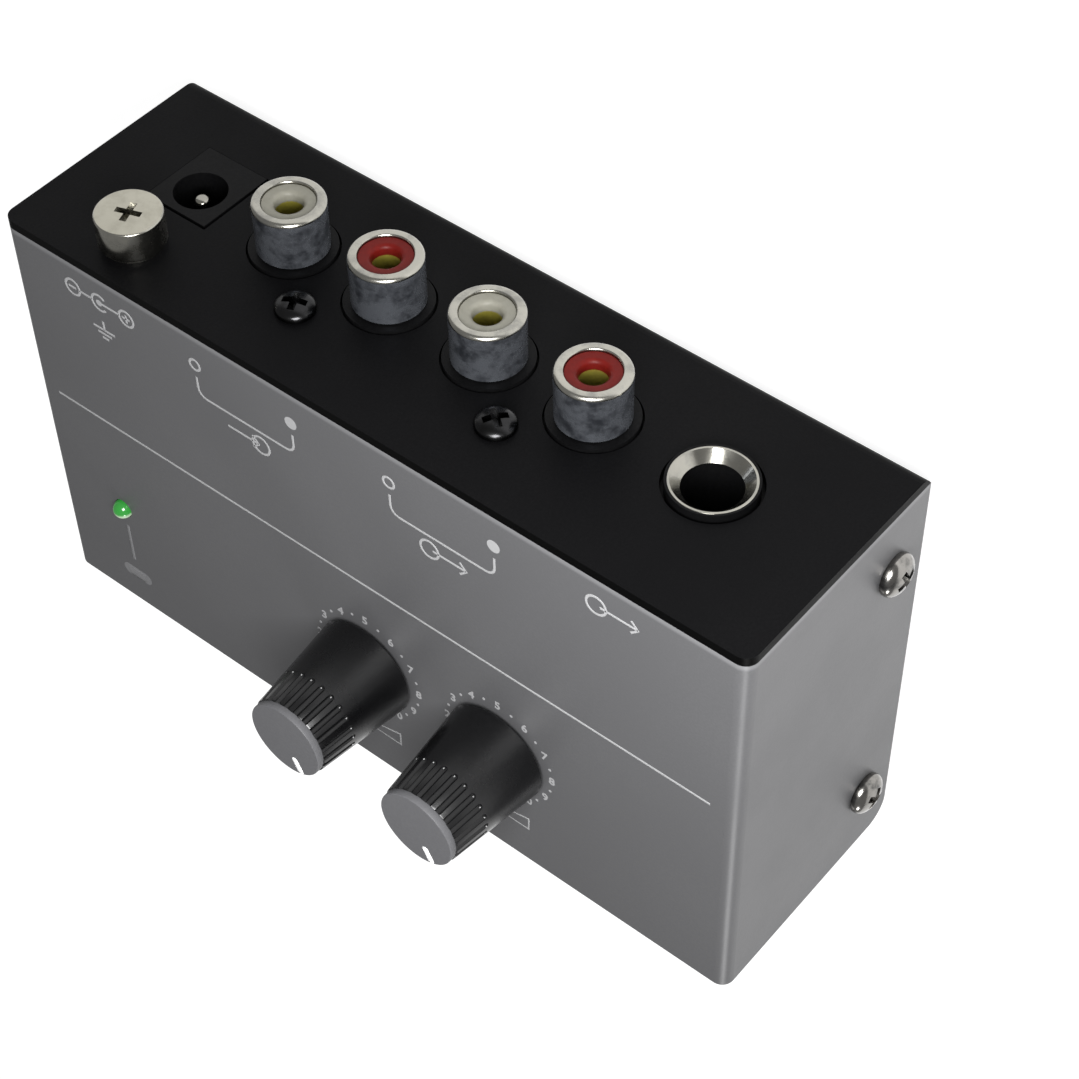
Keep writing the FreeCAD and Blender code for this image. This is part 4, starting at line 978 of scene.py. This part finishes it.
def pointer(name):
    """A round-ended bar along a radius of the knob's top: a short rod whose outer half is drawn out."""
    centre = middle(name + "_knob")
    top = top_of(name + "_knob_cap")
    rod_x = POINTER_INNER + POINTER_HALF
    bpy.ops.object.select_all(action="DESELECT")
    bpy.ops.mesh.primitive_cylinder_add(vertices=32, radius=POINTER_HALF, depth=POINTER_DEPTH,
                                        location=(rod_x, 0, -POINTER_DEPTH / 2))
    bar = bpy.context.object
    bar.name = name + "_pointer_bar"
    bpy.ops.object.transform_apply(location=True)
    bpy.ops.object.mode_set(mode="EDIT")
    bpy.ops.mesh.select_mode(type="VERT")
    bpy.ops.mesh.select_all(action="DESELECT")
    bpy.ops.object.mode_set(mode="OBJECT")
    for vertex in bar.data.vertices:
        vertex.select = vertex.co.x > rod_x - SLIVER
    bpy.ops.object.mode_set(mode="EDIT")
    bpy.ops.transform.translate(value=(POINTER_OUTER - POINTER_INNER - 2 * POINTER_HALF, 0, 0))
    bpy.ops.object.mode_set(mode="OBJECT")
    soften(bar, 0.03 * MM)
    settle(bar, (centre.x, centre.y, top), spin=POINTER_ANGLE)
    finished(bar, name + "_control", "white_pointer", "white_pointer", name + "_pointer")
    smooth(bar, 35)


for control in KNOBS:
    knob(control)
    pointer(control)

# %% [markdown]
# The lamp is a small round lens that stands just above the face, with a wider collar that holds it from
# inside. Its dome is turned on a quarter of an ellipse.


# %% Lamp lens
def lamp_lens():
    low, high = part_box("power_lamp")
    centre = middle("power_lamp")
    radius = 1.25 * MM
    collar = 1.9 * MM
    collar_top = 1.0 * MM
    height = high[2] - low[2]
    dome_base = FACE - low[2]
    dome_height = height - dome_base
    angles = [math.radians(angle) for angle in range(8, 88, 8)]
    profile = [(0, 0), (collar, 0), (collar, collar_top), (radius, collar_top), (radius, dome_base)]
    profile += [(radius * math.cos(angle), dome_base + dome_height * math.sin(angle)) for angle in angles]
    profile += [(0, height)]
    lens = turned("lamp_lens", profile, sides=48)
    settle(lens, (centre.x, centre.y, low[2]))
    finished(lens, "case", "green_lamp", "green_lamp", "power_lamp")
    smooth(lens, 40)


lamp_lens()

# %% [markdown]
# The rubber feet are moulded discs with a rounded rim and a shallow hollow underneath, which helps them
# grip. One foot is turned and copied to the four corners.


# %% Rubber feet
def feet():
    low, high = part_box("rubber_feet")
    radius = 4.5 * MM
    rim_round = 0.6 * MM
    hollow_depth = 0.35 * MM
    hollow_top = 2.2 * MM
    hollow_mouth = 2.6 * MM
    height = high[2] - low[2]
    profile = [(0, hollow_depth), (hollow_top, hollow_depth), (hollow_mouth, 0)]
    profile += arc((radius - rim_round, rim_round), rim_round, -90, 0, 6)
    profile += [(radius, height), (0, height)]
    first = turned("rubber_foot", profile, sides=64)
    smooth(first, 30)
    places = [(x, y, low[2]) for x in (low[0] + radius, high[0] - radius)
              for y in (low[1] + radius, high[1] - radius)]
    copies = [first] + [copied(first) for _ in places[1:]]
    for foot, place in zip(copies, places):
        settle(foot, place)
    finished(joined(copies, "moulded_feet"), "case", "black_rubber", "black_rubber", "rubber_feet")


feet()

# %% [markdown]
# The face is screen printed. The sockets carry plain symbols: polarity, ground, arrows in and out. The
# dials have plain numbers. Ink lies on the paint as a very thin layer, so a mark is a curve with a round
# section that is flattened to a few hundredths of a millimetre. Places are in millimetres from the middle
# of the case.

# %% Helpers for printed marks
INK = 0.02 * MM
LINE = 0.4 * MM
RING_STEPS = 28
TEXT_SHARE = 1.4
TEXT_WEIGHT = 0.05 * MM


def stroke(points, width=LINE, closed=False):
    """A printed line through points."""
    curve = bpy.data.curves.new("stroke", "CURVE")
    curve.dimensions = "3D"
    spline = curve.splines.new("POLY")
    spline.points.add(len(points) - 1)
    for point, (x, y) in zip(spline.points, points):
        point.co = (x * MM, y * MM, 0, 1)
    spline.use_cyclic_u = closed
    curve.bevel_depth = width / 2
    curve.bevel_resolution = 1
    curve.use_fill_caps = True
    line = bpy.data.objects.new("stroke", curve)
    bpy.context.scene.collection.objects.link(line)
    return line


def disc(x, y, radius):
    bpy.ops.object.select_all(action="DESELECT")
    bpy.ops.mesh.primitive_cylinder_add(vertices=24, radius=radius * MM, depth=LINE,
                                        location=(x * MM, y * MM, 0))
    dot = bpy.context.object
    bpy.ops.object.transform_apply(location=True)
    return dot


def ring(x, y, radius, start=0, end=360):
    """A circle, or an open arc where the angles span less than a full turn."""
    points = arc((x, y), radius, start, end, RING_STEPS)
    full = end - start == 360
    return stroke(points[:-1] if full else points, closed=full)


def figure(text, x, y, height):
    """A plain number, centred on a point."""
    bpy.ops.object.select_all(action="DESELECT")
    bpy.ops.object.text_add(location=(x * MM, y * MM, 0))
    label = bpy.context.object
    label.data.body = text
    label.data.size = height * TEXT_SHARE * MM
    label.data.align_x = "CENTER"
    label.data.align_y = "CENTER"
    label.data.extrude = LINE / 2
    label.data.offset = TEXT_WEIGHT
    label.data.resolution_u = 3
    return label


def printed(name, marks, finish="white_marking"):
    """Make meshes of marks, join them, flatten them to ink and lay them on the face."""
    for mark in marks:
        if mark.type != "MESH":
            only(mark)
            bpy.ops.object.convert(target="MESH")
            bpy.ops.object.transform_apply(location=True, rotation=True, scale=True)
    layer = joined(marks, name)
    only(layer)
    bpy.ops.object.mode_set(mode="EDIT")
    bpy.ops.mesh.select_all(action="SELECT")
    bpy.ops.transform.resize(value=(1, 1, INK / (LINE / 2)), center_override=(0, 0, 0))
    bpy.ops.mesh.normals_make_consistent(inside=False)
    bpy.ops.object.mode_set(mode="OBJECT")
    settle(layer, (0, CASE_MIDDLE_Y, FACE))
    finished(layer, "case", "white_pointer", finish)


# %% [markdown]
# Each dial has the numbers 0 to 10 round its knob, thirty degrees apart, with a dot halfway between.

# %% Dials
DIAL_RADIUS = 7.55
DIAL_START = 240.0
DIAL_STEP = -30.0
DIAL_END = 10
NUMBER_HEIGHT = 1.2
DOT_RADIUS = 0.2


def dial(name):
    centre = middle(name + "_knob")
    x0 = centre.x / MM
    y0 = (centre.y - CASE_MIDDLE_Y) / MM
    marks = []
    for number in range(DIAL_END + 1):
        angle = math.radians(DIAL_START + number * DIAL_STEP)
        marks.append(figure(str(number), x0 + DIAL_RADIUS * math.cos(angle),
                            y0 + DIAL_RADIUS * math.sin(angle), NUMBER_HEIGHT))
        if number < DIAL_END:
            half = math.radians(DIAL_START + (number + 0.5) * DIAL_STEP)
            marks.append(disc(x0 + DIAL_RADIUS * math.cos(half), y0 + DIAL_RADIUS * math.sin(half),
                              DOT_RADIUS))
    printed(name + "_dial", marks)


for control in KNOBS:
    dial(control)


# %% [markdown]
# A bracket joins each pair of jacks. Its lower corners are rounded, so its line follows two small arcs. An
# open ring stands for the left jack and a filled dot for the right one.

# %% Brackets, symbols and stripe
CORNER = 1.2
BRACKET_TOP = 21.6
BRACKET_BOTTOM = 18.75
CHANNEL_ROW = 23.4
ARROW_ROW = 16.6
ARROW_HEAD = 0.9
SYMBOL_RING = 1.25


def bracket(left, right):
    points = [(left, BRACKET_TOP)]
    points += arc((left + CORNER, BRACKET_BOTTOM + CORNER), CORNER, 180, 270, 4)
    points += arc((right - CORNER, BRACKET_BOTTOM + CORNER), CORNER, 270, 360, 4)
    points.append((right, BRACKET_TOP))
    return stroke(points)


def arrow(x, y, length):
    """An arrow that points to the right, with its middle at x, y."""
    tip = x + length / 2
    barbs = [(tip - ARROW_HEAD, y + ARROW_HEAD), (tip, y), (tip - ARROW_HEAD, y - ARROW_HEAD)]
    return [stroke([(x - length / 2, y), (tip, y)]), stroke(barbs)]


def jack_marks(left, right, inward):
    """An arrow that ends in a ring for an input, or starts from one for an output."""
    middle_x = (left + right) / 2
    ring_shift = 1.9 if inward else -1.9
    arrow_shift = -0.7 if inward else 0.9
    marks = [bracket(left, right), ring(left, CHANNEL_ROW, 0.75), disc(right, CHANNEL_ROW, 0.85)]
    marks += [ring(middle_x + ring_shift, ARROW_ROW, SYMBOL_RING)]
    marks += arrow(middle_x + arrow_shift, ARROW_ROW, 4.6)
    return marks


def power_marks(x, y):
    """Polarity: the middle pin is the positive side."""
    socket = 1.15
    reach = 3.1
    sign_x = 4.2
    half = 0.6
    return [ring(x, y, socket, 40, 320), disc(x, y, 0.45), stroke([(x - reach, y), (x - socket, y)]),
            stroke([(x, y), (x + reach, y)]), ring(x - sign_x, y, 1.1), ring(x + sign_x, y, 1.1),
            stroke([(x - sign_x - half, y), (x - sign_x + half, y)]),
            stroke([(x + sign_x - half, y), (x + sign_x + half, y)]),
            stroke([(x + sign_x, y - half), (x + sign_x, y + half)])]


def ground_marks(x, y):
    """A stem on three bars, each shorter than the one above it."""
    bars = [stroke([(x - half, y - drop), (x + half, y - drop)])
            for half, drop in ((1.7, 0), (1.1, 0.65), (0.5, 1.3))]
    return [stroke([(x, y + 1.4), (x, y)])] + bars


def wedge(x, y):
    return [stroke([(x - 4.0, y - 0.9), (x + 4.0, y - 0.9), (x + 4.0, y + 1.1)], closed=True)]


def lamp_marks(x, line_ends, pill_ends, pill_y):
    """A line down from the lamp to a filled pill."""
    pill_radius = 0.95
    line = stroke([(x, y) for y in line_ends], 0.55 * MM)
    pill = stroke([(end, pill_y) for end in pill_ends], 2 * pill_radius * MM)
    return [line, pill] + [disc(end, pill_y, pill_radius) for end in pill_ends]


STEREO_ROW = 23.9
STRIPE_END = 48.0
STRIPE_ROW = 3.3
printed("input_marks", jack_marks(left=-22.4, right=-8.2, inward=True))
printed("output_marks", jack_marks(left=5.6, right=19.8, inward=False))
printed("stereo_marks", [ring(33.0, STEREO_ROW, SYMBOL_RING)] + arrow(35.9, STEREO_ROW, 4.8))
printed("power_marks", power_marks(x=-37.0, y=24.1))
printed("ground_marks", ground_marks(x=-37.0, y=19.9))
printed("level_marks", wedge(x=0.0, y=-22.1))
printed("volume_marks", wedge(x=19.4, y=-22.1))
printed("stripe", [stroke([(-STRIPE_END, STRIPE_ROW), (STRIPE_END, STRIPE_ROW)])])
printed("lamp_marks", lamp_marks(-40.0, (-14.8, -21.1), (-41.3, -38.4), -23.8), "faint_marking")
